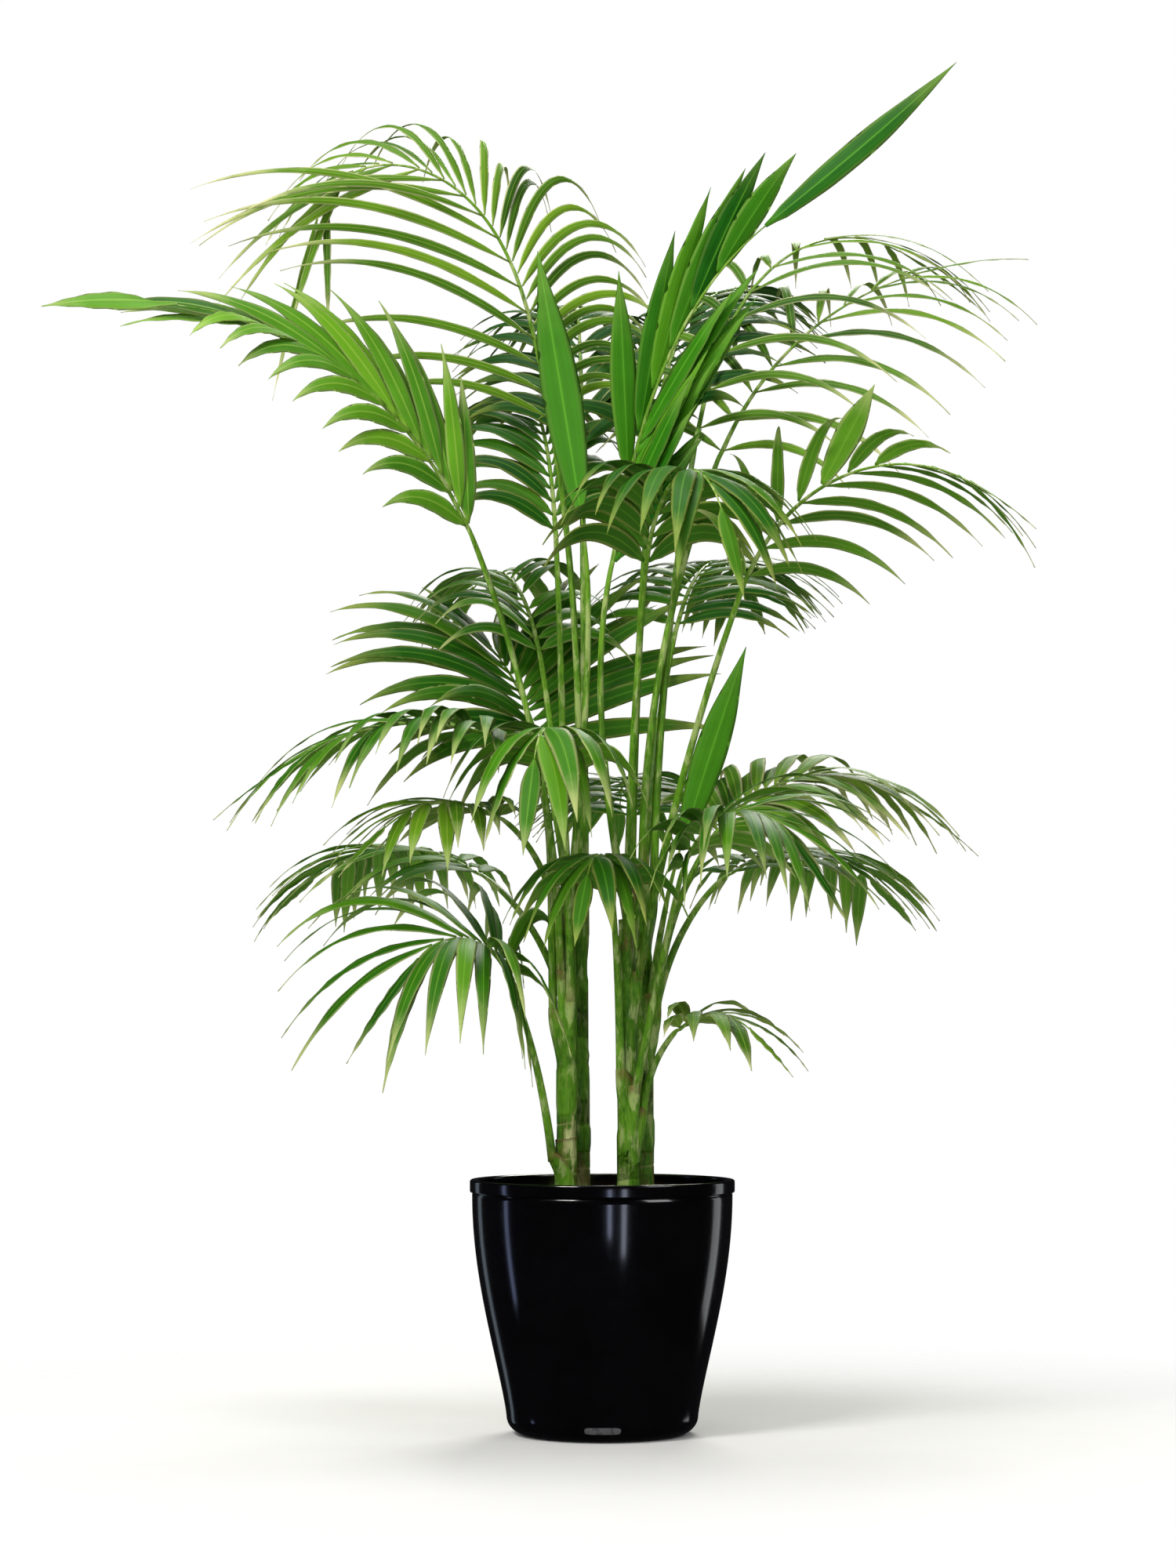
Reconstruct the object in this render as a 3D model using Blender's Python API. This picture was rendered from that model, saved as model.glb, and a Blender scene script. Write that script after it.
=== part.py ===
"""Kentia palm with four stems in a round planter.

Metres, +Z up. The origin is the centre of the planter's flat underside.
Headings are measured from +X towards +Y; the front of the plant looks towards -Y.
"""
import math

import bmesh
import bpy
import numpy as np
from mathutils import Vector
from mathutils.bvhtree import BVHTree

GAP = 0.0003                # clear gap where two pieces meet
SPARE = 0.0010              # room kept round every leaflet

# Planter: a round tapered pot with a rolled lip
POT_HEIGHT = 0.335
POT_FOOT_RADIUS = 0.100     # flat underside
POT_SHOULDER_RADIUS = 0.127
POT_SHOULDER_HEIGHT = 0.024
POT_BODY_RADIUS = 0.173
POT_BODY_HEIGHT = 0.317     # underside of the lip
POT_RIM_RADIUS = 0.176
POT_RIM_WIDTH = 0.011
POT_WALL = 0.006
POT_FLOOR = 0.012
POT_SIDES = 40

SOIL_TOP = 0.300
SOIL_RISE = 0.006           # the soil domes a little towards the stems
SOIL_CORE_RADIUS = 0.100    # level middle that the stems stand on

# Stems
STEM_SIDES = 12
STEM_FOOT_RADIUS = 0.0142
STEM_TOP_RADIUS = 0.0092
STEM_FLARE = 0.0070         # how far the foot swells over the first centimetres
STEM_FLARE_HEIGHT = 0.030
SHEATH_STEP = 0.0014        # ledge at the mouth of each old leaf sheath
SHEATH_COUNT = 4

# Fronds
STALK_SIDES = 6
STALK_FOOT_RADIUS = 0.0062
STALK_TOP_RADIUS = 0.0036
STALK_RINGS = 6
RACHIS_WIDTH = 0.0070       # at the first leaflets
RACHIS_DEPTH = 0.0052
RACHIS_TIP_SHARE = 0.40     # width and depth left at the last leaflets
PATH_STEPS = 48
LEAFLET_STEPS = 12
LEAFLET_THICKNESS = 0.011   # of its length
LEAFLET_ROOT_HALF = 0.0060  # half of the length of rib that a leaflet grows from
ROOT_SHARES = {"rib": 0.14, "leaf": 0.05}   # what a leaflet's root may touch of its own frond

LEAF_GREEN = (0.030, 0.160, 0.022)
YOUNG_GREEN = (0.070, 0.270, 0.030)
STALK_GREEN = (0.190, 0.330, 0.060)
STEM_GREEN = (0.150, 0.260, 0.050)
SOIL_BROWN = (0.035, 0.022, 0.014)
POT_BLACK = (0.004, 0.004, 0.005)

# Each stem stands on the soil at its foot and leans to its top.
STEMS = {
    "left_front": dict(foot=(-0.048, -0.023), top=(-0.046, -0.030), height=0.66),
    "left_rear": dict(foot=(-0.030, 0.029), top=(-0.032, 0.040), height=0.70),
    "right_front": dict(foot=(0.035, -0.028), top=(0.032, -0.036), height=0.68),
    "right_rear": dict(foot=(0.055, 0.022), top=(0.054, 0.036), height=0.74),
}

# How leaflets sit on a frond: spread is the angle to the rib and fold the angle above
# the blade's plane, both in degrees at the first and the last pair. Low and end are the
# lengths there as shares of the longest, broadest is the share of the length where the
# leaflet is widest.
HABITS = {
    "arching": dict(spread=(66, 26), fold=(8, 0), droop=1.25, low=0.75, end=0.62,
                    width=0.025, broadest=0.30),
    "airy": dict(spread=(56, 28), fold=(6, 0), droop=0.90, low=0.75, end=0.62,
                 width=0.021, broadest=0.30),
    "young": dict(spread=(30, 8), fold=(20, 10), droop=0.25, low=0.75, end=0.80,
                  width=0.028, broadest=0.45),
    "fan": dict(spread=(80, 20), fold=(14, 5), droop=0.60, low=0.90, end=0.75,
                width=0.026, broadest=0.30),
}


def frond(name, stem, height, seat, heading, leans, stalk, blade, leaflet, pairs,
          habit="arching", **changes):
    """One leaf. It grows from its stem at a height, on the side that seat gives in degrees,
    or from the stem's top where seat is None. Leans are degrees from upright at the foot
    of the stalk, at the first leaflets and at the tip; stalk, blade and leaflet are lengths.
    """
    sizes = dict(HABITS[habit], stalk_bend=1.0, blade_bend=1.0, roll=(0, 0), tip=(0.6, 0.8, 0.3),
                 left=(0, 0, 1, 1), right=(0, 0, 1, 1), extra=None)
    sizes.update(changes)
    sizes.update(name=name, stem=stem, height=height, seat=seat, heading=heading, leans=leans,
                 stalk=stalk, blade=blade, leaflet=leaflet, pairs=pairs)
    return sizes


# Left and right change one row of leaflets: degrees added to spread and to fold, and shares
# of the length and of the droop. Left is the row at heading + 90 degrees.
# Tip is the end leaflet: its length and width as shares of the leaflets', and its droop.
# Extra is one more leaflet: share of the blade, side, spread, fold, length, width, droop.
FRONDS = [
    # top of the crown, from left to right
    frond("arch_left", "left_rear", 0.70, None, 188, (-1, 10, 165), 0.65, 0.58, 0.44, 16, "airy",
          stalk_bend=1.6, blade_bend=2.6, roll=(-85, -50), fold=(4, -4), droop=0.85, width=0.021,
          spread=(54, 28), low=0.55, end=0.40, right=(0, 0, 0.62, 1.9)),
    frond("reach_left", "left_front", 0.60, 240, 205, (1, 24, 88), 0.60, 0.52, 0.24, 11,
          spread=(32, 16), fold=(10, 0), roll=(-70, -10), droop=0.9, width=0.030, left=(4, 0, 0.8, 1.2),
          right=(-8, 0, 1.1, 0.7), tip=(0.75, 1.3, 0.3)),
    frond("young_centre", "left_front", 0.66, None, 185, (-5, 2, 9), 0.47, 0.09, 0.36, 2, "young",
          stalk_bend=3.0, width=0.048, spread=(9, 5), fold=(12, 8), roll=(80, 80), right=(0, 22, 1, 1),
          tip=(1.0, 1.1, 0.1)),
    frond("spear_right", "right_front", 0.68, None, 340, (-10, 11, 55), 0.46, 0.52, 0.27, 9, "young",
          stalk_bend=2.0, blade_bend=2.0, spread=(9, 5), fold=(22, 15), roll=(90, 90), width=0.038,
          end=0.55, right=(7, -6, 1, 1), tip=(1.21, 0.90, -0.10)),
    frond("upper_right", "right_rear", 0.74, None, 20, (0, 22, 72), 0.58, 0.42, 0.30, 9, roll=(40, 20),
          width=0.017),
    frond("high_right", "right_rear", 0.70, 30, 35, (1, 12, 108), 0.64, 0.54, 0.29, 10, roll=(30, 10),
          blade_bend=1.5, width=0.017, left=(0, 0, 0.7, 1.2)),
    frond("side_right", "right_front", 0.60, 330, 325, (12, 24, 120), 0.54, 0.40, 0.23, 10,
          spread=(56, 22), roll=(-35, -10), width=0.022, right=(-10, 35, 0.7, 0.8),
          tip=(0.5, 0.8, 0.3), extra=(0.42, -1, 30, 55, 0.15, 0.042, 0.0)),
    frond("facing_front", "right_front", 0.64, 270, 290, (2, 14, 145), 0.50, 0.34, 0.24, 10,
          spread=(48, 25), droop=1.8, width=0.030),
    # middle of the crown
    frond("fan_middle", "left_rear", 0.62, 120, 130, (4, 22, 52), 0.31, 0.18, 0.31, 11, "fan",
          spread=(84, 14), fold=(28, 14), droop=0.36, width=0.030, left=(0, -18, 0.92, 2.6)),
    frond("mid_left", "left_front", 0.55, 180, 200, (1, 70, 120), 0.39, 0.28, 0.26, 10, stalk_bend=6),
    frond("facing_low", "left_front", 0.57, 285, 258, (3, 16, 150), 0.29, 0.22, 0.23, 7,
          width=0.034, spread=(44, 18), fold=(0, -10), droop=2.6),
    frond("small_left", "left_rear", 0.52, 210, 222, (1, 63, 126), 0.33, 0.21, 0.17, 7, stalk_bend=2),
    frond("mid_right", "right_rear", 0.55, 0, 12, (2, 34, 120), 0.26, 0.29, 0.24, 10, roll=(30, 0)),
    frond("mid_right_front", "right_front", 0.45, 300, 318, (14, 17, 137), 0.30, 0.23, 0.24, 9,
          roll=(30, 0)),
    frond("facing_small", "right_front", 0.47, 240, 256, (3, 18, 140), 0.24, 0.17, 0.19, 6,
          width=0.030, spread=(46, 20), fold=(0, -10), droop=2.4),
    frond("young_right", "right_rear", 0.57, 300, 15, (8, 12, 18), 0.13, 0.09, 0.28, 2, "young",
          width=0.044, spread=(9, 5), fold=(12, 8), roll=(80, 80), right=(0, 22, 1, 1), tip=(1, 1, 0.1)),
    # low fronds
    frond("low_left", "left_front", 0.36, 210, 218, (8, 24, 136), 0.25, 0.18, 0.29, 9, "fan",
          roll=(-40, -10), droop=1.5),
    frond("low_right", "right_front", 0.42, 0, 330, (3, 45, 130), 0.125, 0.12, 0.15, 5),
    # behind the stems
    frond("rear_top", "left_rear", 0.66, 60, 92, (3, 15, 92), 0.68, 0.48, 0.24, 11,
          spread=(48, 22)),
    frond("rear_top_right", "right_rear", 0.71, 150, 66, (2, 12, 90), 0.62, 0.48, 0.24, 11,
          spread=(48, 22)),
    frond("rear_top_left", "left_rear", 0.64, 180, 101, (2, 13, 95), 0.57, 0.46, 0.20, 11,
          spread=(44, 20)),
    frond("rear_middle_right", "right_rear", 0.64, 90, 72, (3, 36, 112), 0.48, 0.40, 0.22, 10),
    frond("rear_middle_left", "left_front", 0.60, 90, 108, (3, 28, 112), 0.46, 0.40, 0.21, 10,
          spread=(52, 24), droop=1.6),
    frond("rear_low", "right_rear", 0.54, 120, 92, (8, 50, 118), 0.33, 0.36, 0.20, 10),
    frond("rear_low_left", "left_rear", 0.50, 120, 140, (6, 60, 118), 0.30, 0.34, 0.21, 9),
    frond("rear_low_right", "right_rear", 0.50, 60, 48, (6, 60, 118), 0.30, 0.34, 0.22, 9),
]


def unit(vector):
    return vector / np.linalg.norm(vector, axis=-1, keepdims=True)


def heading_vector(degrees):
    angle = math.radians(degrees)
    return np.array([math.cos(angle), math.sin(angle), 0.0])


# ---- stems ----

def stem_radius(share):
    """Tapers from foot to top, swells at the foot and steps in above each old sheath."""
    taper = STEM_FOOT_RADIUS + (STEM_TOP_RADIUS - STEM_FOOT_RADIUS) * share
    sheath = share * SHEATH_COUNT
    step = SHEATH_STEP * (sheath - math.floor(sheath)) if share < 1 else SHEATH_STEP
    return taper + step


def stem_rings(stem):
    """Heights above the soil and radii of a stem's rings, from foot to top."""
    length = stem["height"] - SOIL_TOP - GAP
    rings = []
    for level, swell in ((0.0, 1.0), (0.35, 0.38), (1.0, 0.0)):
        rise = level * STEM_FLARE_HEIGHT
        rings.append((rise, stem_radius(rise / length) + swell * STEM_FLARE))
    for sheath in range(1, SHEATH_COUNT):
        mouth = sheath / SHEATH_COUNT
        rings.append((mouth * length, stem_radius(mouth - 1e-6)))
        rings.append((mouth * length + 0.004, stem_radius(mouth)))
    rings.append((length, stem_radius(1.0)))
    return rings


def stem_axis(stem, height):
    """Centre of the stem at a height above the ground."""
    share = (height - SOIL_TOP) / (stem["height"] - SOIL_TOP)
    foot = np.array(stem["foot"])
    centre = foot + (np.array(stem["top"]) - foot) * share
    return np.array([centre[0], centre[1], height])


def stem_reach(stem, height):
    """Radius of the stem at a height above the ground."""
    rings = np.array(stem_rings(stem))
    return float(np.interp(height - SOIL_TOP - GAP, rings[:, 0], rings[:, 1]))


# ---- frond paths ----

def stalk_radius(share):
    return STALK_FOOT_RADIUS + (STALK_TOP_RADIUS - STALK_FOOT_RADIUS) * share


def follow(frond, base):
    """Path of stalk and rib. The lean runs from leans[0] to leans[1] along the stalk and on
    to leans[2] along the blade, and the path is its sum: p = base + sum(tangent * step).
    """
    steps = np.linspace(0, 1, PATH_STEPS + 1)
    first, turn, last = np.radians(frond["leans"])
    low = first + (turn - first) * steps ** frond["stalk_bend"]
    high = turn + (last - turn) * steps ** frond["blade_bend"]
    lean = np.concatenate([low, high[1:]])
    arc = np.concatenate([steps * frond["stalk"], frond["stalk"] + steps[1:] * frond["blade"]])
    outward = heading_vector(frond["heading"])
    tangent = np.sin(lean)[:, None] * outward + np.cos(lean)[:, None] * np.array([0, 0, 1.0])
    middle = (tangent[1:] + tangent[:-1]) / 2
    points = base + np.concatenate([np.zeros((1, 3)), np.cumsum(middle * np.diff(arc)[:, None], 0)])
    side = heading_vector(frond["heading"] + 90)
    return dict(points=points, tangent=tangent, side=side, arc=arc,
                stalk=frond["stalk"], blade=frond["blade"])


def seat_on_stem(frond):
    """Foot of the stalk: on the stem's top, or beside the stem where it just clears it."""
    stem = STEMS[frond["stem"]]
    if frond["seat"] is None:
        return stem_axis(stem, frond["height"]) + np.array([0, 0, GAP])
    away = heading_vector(frond["seat"])
    trial = follow(frond, np.zeros(3))
    need = 0.0
    for share in np.linspace(0, 1, 41):
        height = frond["height"] + share * (stem["height"] - frond["height"])
        rise = height - frond["height"]
        drift = np.array([np.interp(rise, trial["points"][:, 2], trial["points"][:, k]) for k in (0, 1)])
        shift = stem_axis(stem, height) - stem_axis(stem, frond["height"])
        apart = float(np.dot(drift - shift[:2], away[:2]))
        thick = stalk_radius(np.interp(rise, trial["points"][:, 2], trial["arc"]) / frond["stalk"])
        need = max(need, stem_reach(stem, height) + thick - apart)
    return stem_axis(stem, frond["height"]) + away * (need + GAP)


def place_on(path, arc):
    """Point and tangent of the path at a distance from its foot."""
    point = np.array([np.interp(arc, path["arc"], path["points"][:, k]) for k in range(3)])
    tangent = np.array([np.interp(arc, path["arc"], path["tangent"][:, k]) for k in range(3)])
    return point, unit(tangent)


def blade_frame(frond, path, share):
    """Point, tangent, side and upper direction of the blade at a share of its length."""
    point, tangent = place_on(path, path["stalk"] + GAP + share * (path["blade"] - GAP))
    upper = np.cross(tangent, path["side"])
    first, last = frond["roll"]
    roll = math.radians(first + (last - first) * min(1.0, share / 0.75))
    side = path["side"] * math.cos(roll) + upper * math.sin(roll)
    return point, tangent, side, np.cross(tangent, side)


# ---- leaflets ----

def half_width(leaf, share):
    """Rises from the root to the broadest place, then falls to a point."""
    broadest = leaf["broadest"]
    rise = np.sin(np.clip(share / broadest, 0, 1) * math.pi / 2)
    fall = 1 - np.clip((share - broadest) / (1 - broadest), 0, 1) ** 1.8
    return 0.5 * leaf["width"] * (0.35 + 0.65 * rise) * fall


def leaf_line(leaf):
    """Centre line of a leaflet: it leaves the rib at spread and fold and bends down with
    d = unit(d0 - droop * v ** 1.3 * up); its edge vector is carried along without twist.
    """
    spread = math.radians(leaf["spread"])
    fold = math.radians(leaf["fold"])
    out = math.cos(fold) * leaf["side"] * leaf["out"] + math.sin(fold) * leaf["up"]
    start = math.cos(spread) * leaf["along"] + math.sin(spread) * out
    shares = np.linspace(0, 1, LEAFLET_STEPS + 1)
    down = np.array([0, 0, -1.0])
    direction = unit(start + leaf["droop"] * (shares ** 1.3)[:, None] * down)
    middle = (direction[1:] + direction[:-1]) / 2
    line = leaf["root"] + np.concatenate(
        [np.zeros((1, 3)), np.cumsum(middle, 0) * leaf["length"] / LEAFLET_STEPS])
    across = leaf["along"] if leaf["side"] else leaf["out"]
    edge = np.empty_like(direction)
    for step, ahead in enumerate(direction):
        across = unit(across - np.dot(across, ahead) * ahead)
        edge[step] = across
    upper = np.cross(edge, direction) * (leaf["side"] or -1)
    return shares, line, direction, edge, upper


def leaf_section(leaf, share, spare=0.0):
    """Front edge, rear edge, keel and top of the leaflet's section at a share of its length."""
    shares, line, direction, edge, upper = leaf_line(leaf)

    def at(values):
        return np.array([np.interp(share, shares, values[:, k]) for k in range(3)])

    centre, across, above = at(line), unit(at(edge)), unit(at(upper))
    half = (float(half_width(leaf, share)) if share > 0 else LEAFLET_ROOT_HALF) + spare
    keel = LEAFLET_THICKNESS * leaf["length"] * min(1.0, (1 - share) / 0.45) + spare
    return (centre + across * half, centre - across * half,
            centre - above * keel, centre + above * spare)


def leaf_rings(leaf):
    """Shares of the length where the leaflet's faces meet: the broadest place and one beyond."""
    return leaf["broadest"], (1 + leaf["broadest"]) / 2 + 0.05


def leaf_room(leaf, start=0.0):
    """Points and faces of the leaflet with spare room round it, for testing what it meets."""
    points = []
    for share in (start,) + leaf_rings(leaf) + (1.0,):
        front, rear, keel, top = leaf_section(leaf, share, SPARE)
        points += [front, top, rear, keel]
    faces = []
    for ring in range(3):
        for corner in range(4):
            here = ring * 4 + corner
            beside = ring * 4 + (corner + 1) % 4
            faces.append((here, beside, beside + 4, here + 4))
    faces += [(0, 1, 2, 3), (12, 13, 14, 15)]
    return points, faces


class Room:
    """What is already placed, each piece as its owner and kind, its box and its tree of faces."""

    def __init__(self):
        self.pieces = []

    def put(self, owner, kind, points, faces):
        spots = np.array(points)
        tree = BVHTree.FromPolygons([Vector(spot) for spot in spots], faces)
        self.pieces.append((owner, kind, spots.min(0), spots.max(0), tree))

    def free(self, owner, leaf):
        """True where the leaflet meets nothing; its own frond is tested past its root."""
        points, faces = leaf_room(leaf)
        low, high = np.min(points, 0), np.max(points, 0)
        trees = {}
        for other, kind, box_low, box_high, placed in self.pieces:
            if (low > box_high).any() or (high < box_low).any():
                continue
            start = ROOT_SHARES[kind] if other == owner else 0.0
            if start not in trees:
                spots = [Vector(spot) for spot in leaf_room(leaf, start)[0]]
                trees[start] = BVHTree.FromPolygons(spots, faces)
            if trees[start].overlap(placed):
                return False
        return True


def pair_share(frond, pair):
    """Share of the blade where a pair of leaflets sits."""
    return 0.985 * (pair + 0.35) / (frond["pairs"] - 0.3)


def length_share(frond, share):
    """Leaflet length along the blade: rises to the longest at 0.42, then falls to the end."""
    if share < 0.42:
        return frond["low"] + (1 - frond["low"]) * math.sin(share / 0.42 * math.pi / 2)
    return 1 - (1 - frond["end"]) * ((share - 0.42) / 0.58) ** 1.4


def mixed(ends, share):
    return ends[0] + (ends[1] - ends[0]) * share


def wish(frond, path, pair, side, draws):
    """The leaflet as it would grow with nothing in its way."""
    share = pair_share(frond, pair)
    point, along, out, up = blade_frame(frond, path, share)
    half = rachis_half(share)
    turn, lift, grow = draws[side][pair]
    length = frond["leaflet"] * length_share(frond, share)
    more_spread, more_fold, longer, softer = frond["left" if side == 1 else "right"]
    return dict(root=point + side * out * half, along=along, out=out, up=up, side=side,
                spread=mixed(frond["spread"], share ** 1.2) + more_spread + 4 * turn,
                fold=mixed(frond["fold"], share) + more_fold + 5 * lift, droop=frond["droop"] * softer,
                length=length * longer * (1 + 0.05 * grow), broadest=frond["broadest"],
                width=frond["width"] * (0.75 + 0.25 * length / frond["leaflet"]))


def settle(leaf, owner, room):
    """Turns, lifts and at last shortens a leaflet until it is clear; None where it never is."""
    for length in (1.0, 0.85, 0.7, 0.5):
        for fold in (0, 7, -7, 14, -14, 24, -24):
            for spread in (0, -6, 6):
                trial = dict(leaf, length=leaf["length"] * length, fold=leaf["fold"] + fold,
                             spread=leaf["spread"] + spread)
                if room.free(owner, trial):
                    return trial
    return None


def rachis_half(share):
    return 0.5 * RACHIS_WIDTH * mixed((1.0, RACHIS_TIP_SHARE), share)


def stations(frond):
    """Shares of the blade at the two ends of every leaflet's root, and its own two ends."""
    half = min(LEAFLET_ROOT_HALF / frond["blade"], 0.3 / frond["pairs"])
    places = [0.0]
    for pair in range(frond["pairs"]):
        places += [pair_share(frond, pair) - half, pair_share(frond, pair) + half]
    return places + [1.0]


def rachis_section(frond, path, share):
    """Left, right and keel corner of the rib."""
    point, along, out, up = blade_frame(frond, path, share)
    half = rachis_half(share)
    depth = RACHIS_DEPTH * half / (0.5 * RACHIS_WIDTH)
    return point + out * half, point - out * half, point - up * depth


def rachis(frond, path):
    """Points and faces of the rib alone, for testing what it meets."""
    points = []
    for share in stations(frond):
        points += rachis_section(frond, path, share)
    faces = []
    for ring in range(len(points) // 3 - 1):
        for corner in range(3):
            here = ring * 3 + corner
            beside = ring * 3 + (corner + 1) % 3
            faces.append((here, beside, beside + 3, here + 3))
    return points, faces


def blade(frond, path, leaves):
    """One closed blade: a three-sided rib with a three-sided leaflet growing out of its side
    wherever there is one in leaves, and the end leaflet closing its tip.
    """
    points = []
    faces = []

    def add(point):
        points.append(point)
        return len(points) - 1

    def grow(leaf, rear, front, keel):
        """Walls from a three-cornered hole in the rib out to the leaflet's point."""
        ring = (rear, front, keel)
        for share in leaf_rings(leaf):
            front_edge, rear_edge, below, top = leaf_section(leaf, share)
            outer = (add(rear_edge), add(front_edge), add(below))
            for corner in range(3):
                beside = (corner + 1) % 3
                faces.append((ring[corner], ring[beside], outer[beside], outer[corner]))
            ring = outer
        end = add(leaf_line(leaf)[1][-1])
        for corner in range(3):
            faces.append((ring[corner], ring[(corner + 1) % 3], end))

    places = stations(frond)
    corners = [tuple(add(spot) for spot in rachis_section(frond, path, share)) for share in places]
    faces.append(corners[0])
    for step in range(len(places) - 1):
        left, right, keel = corners[step]
        next_left, next_right, next_keel = corners[step + 1]
        faces.append((left, right, next_right, next_left))
        if step % 2 == 0:
            faces.append((left, next_left, next_keel, keel))
            faces.append((right, keel, next_keel, next_right))
            continue
        middle = add(rachis_section(frond, path, (places[step] + places[step + 1]) / 2)[2])
        for side, rear, front in ((1, left, next_left), (-1, right, next_right)):
            faces.append((rear, keel, middle))
            faces.append((front, middle, next_keel))
            leaf = leaves.get(((step - 1) // 2, side))
            if leaf:
                grow(leaf, rear, front, middle)
            else:
                faces.append((rear, middle, front))
    last_left, last_right, last_keel = corners[-1]
    end_leaf = leaves.get("tip")
    if end_leaf:
        grow(end_leaf, last_right, last_left, last_keel)
    else:
        faces.append((last_left, last_keel, last_right))
    return points, faces


def tip_leaf(frond, path):
    """The leaflet that ends the rib and carries it on."""
    point, along, out, up = blade_frame(frond, path, 1.0)
    length, width, droop = frond["tip"]
    return dict(root=point, along=along, out=out, up=up, side=0, spread=0, fold=0, droop=droop,
                length=frond["leaflet"] * length, width=frond["width"] * width, broadest=frond["broadest"])


def extra_leaf(frond, path):
    """A single broad leaflet that takes the place of the one nearest to its share of the blade."""
    share, side, spread, fold, length, width, droop = frond["extra"]
    pair = min(range(frond["pairs"]), key=lambda number: abs(pair_share(frond, number) - share))
    point, along, out, up = blade_frame(frond, path, pair_share(frond, pair))
    leaf = dict(root=point + side * out * rachis_half(share), along=along, out=out, up=up, side=side,
                spread=spread, fold=fold, droop=droop, length=length, width=width, broadest=0.5)
    return pair, side, leaf


def grow_leaves(paths, room):
    """Leaflets of all fronds: the end ones first, then frond by frond and pair by pair."""
    leaves = {frond["name"]: {} for frond in FRONDS}
    draws = {}
    for number, frond in enumerate(FRONDS):
        path = paths[frond["name"]]
        random = np.random.default_rng(number + 1)
        draws[frond["name"]] = {side: random.uniform(-1, 1, (frond["pairs"], 3)) for side in (1, -1)}
        single = settle(tip_leaf(frond, path), frond["name"], room)
        if single:
            leaves[frond["name"]]["tip"] = single
            room.put(frond["name"], "leaf", *leaf_room(single))
        if frond["extra"]:
            pair, side, broad = extra_leaf(frond, path)
            broad = settle(broad, frond["name"], room)
            if broad:
                leaves[frond["name"]][(pair, side)] = broad
                room.put(frond["name"], "leaf", *leaf_room(broad))
    for frond in FRONDS:
        for pair in range(frond["pairs"]):
            for side in (1, -1):
                if (pair, side) in leaves[frond["name"]]:
                    continue
                leaf = wish(frond, paths[frond["name"]], pair, side, draws[frond["name"]])
                leaf = settle(leaf, frond["name"], room)
                if leaf:
                    leaves[frond["name"]][(pair, side)] = leaf
                    room.put(frond["name"], "leaf", *leaf_room(leaf))
    return leaves


# ---- solids ----

def stalk(frond, path):
    """Points and faces of a six-sided tapering stalk with a corner towards its stem."""
    seat = frond["heading"] if frond["seat"] is None else frond["seat"]
    turn = math.radians(seat - frond["heading"] + 180)
    outward = heading_vector(frond["heading"])
    points = []
    for share in np.linspace(0, 1, STALK_RINGS):
        centre, tangent = place_on(path, share * path["stalk"])
        inner = np.cross(tangent, path["side"]) if share > 0 else -outward
        for corner in range(STALK_SIDES):
            angle = turn + 2 * math.pi * corner / STALK_SIDES
            ray = path["side"] * math.sin(angle) - inner * math.cos(angle)
            points.append(centre + ray * stalk_radius(share))
    return points, column_faces(STALK_RINGS, STALK_SIDES)


def column_faces(rings, sides):
    """Walls between rings of points, with both ends closed."""
    faces = [tuple(range(sides))[::-1]]
    for ring in range(rings - 1):
        for corner in range(sides):
            here = ring * sides + corner
            beside = ring * sides + (corner + 1) % sides
            faces.append((here, beside, beside + sides, here + sides))
    faces.append(tuple(range((rings - 1) * sides, rings * sides)))
    return faces


def stem_solid(stem):
    """Points and faces of a stem: level rings about its leaning axis."""
    rings = stem_rings(stem)
    points = []
    for rise, radius in rings:
        centre = stem_axis(stem, SOIL_TOP + GAP + rise)
        for corner in range(STEM_SIDES):
            points.append(centre + heading_vector(360 * corner / STEM_SIDES) * radius)
    return points, column_faces(len(rings), STEM_SIDES)


def pot_radius(height):
    """Outside of the planter: a quarter ellipse at the foot, then a wall that swells less
    and less towards the lip, r = shoulder + (body - shoulder) * sin(t * pi / 2) ** 1.2.
    """
    if height < POT_SHOULDER_HEIGHT:
        turn = math.acos(1 - height / POT_SHOULDER_HEIGHT)
        return POT_FOOT_RADIUS + (POT_SHOULDER_RADIUS - POT_FOOT_RADIUS) * math.sin(turn)
    climb = (height - POT_SHOULDER_HEIGHT) / (POT_BODY_HEIGHT - POT_SHOULDER_HEIGHT)
    swell = math.sin(climb * math.pi / 2) ** 1.2
    return POT_SHOULDER_RADIUS + (POT_BODY_RADIUS - POT_SHOULDER_RADIUS) * swell


def pot_inside():
    """Radii and heights of the planter's inner wall, from its floor up to the lip."""
    heights = np.linspace(POT_FLOOR, POT_BODY_HEIGHT, 6)
    return [(pot_radius(height) - POT_WALL, height) for height in heights]


def turned(name, profile, material):
    """A solid of revolution about Z from a profile that starts and ends on the axis."""
    shape = bmesh.new()
    corners = [shape.verts.new((radius, 0, height)) for radius, height in profile]
    edges = [shape.edges.new(pair) for pair in zip(corners, corners[1:])]
    bmesh.ops.spin(shape, geom=corners + edges, cent=(0, 0, 0), axis=(0, 0, 1), angle=2 * math.pi,
                   steps=POT_SIDES, use_merge=True)
    bmesh.ops.remove_doubles(shape, verts=shape.verts, dist=1e-6)
    return finish(name, shape, material)


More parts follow.
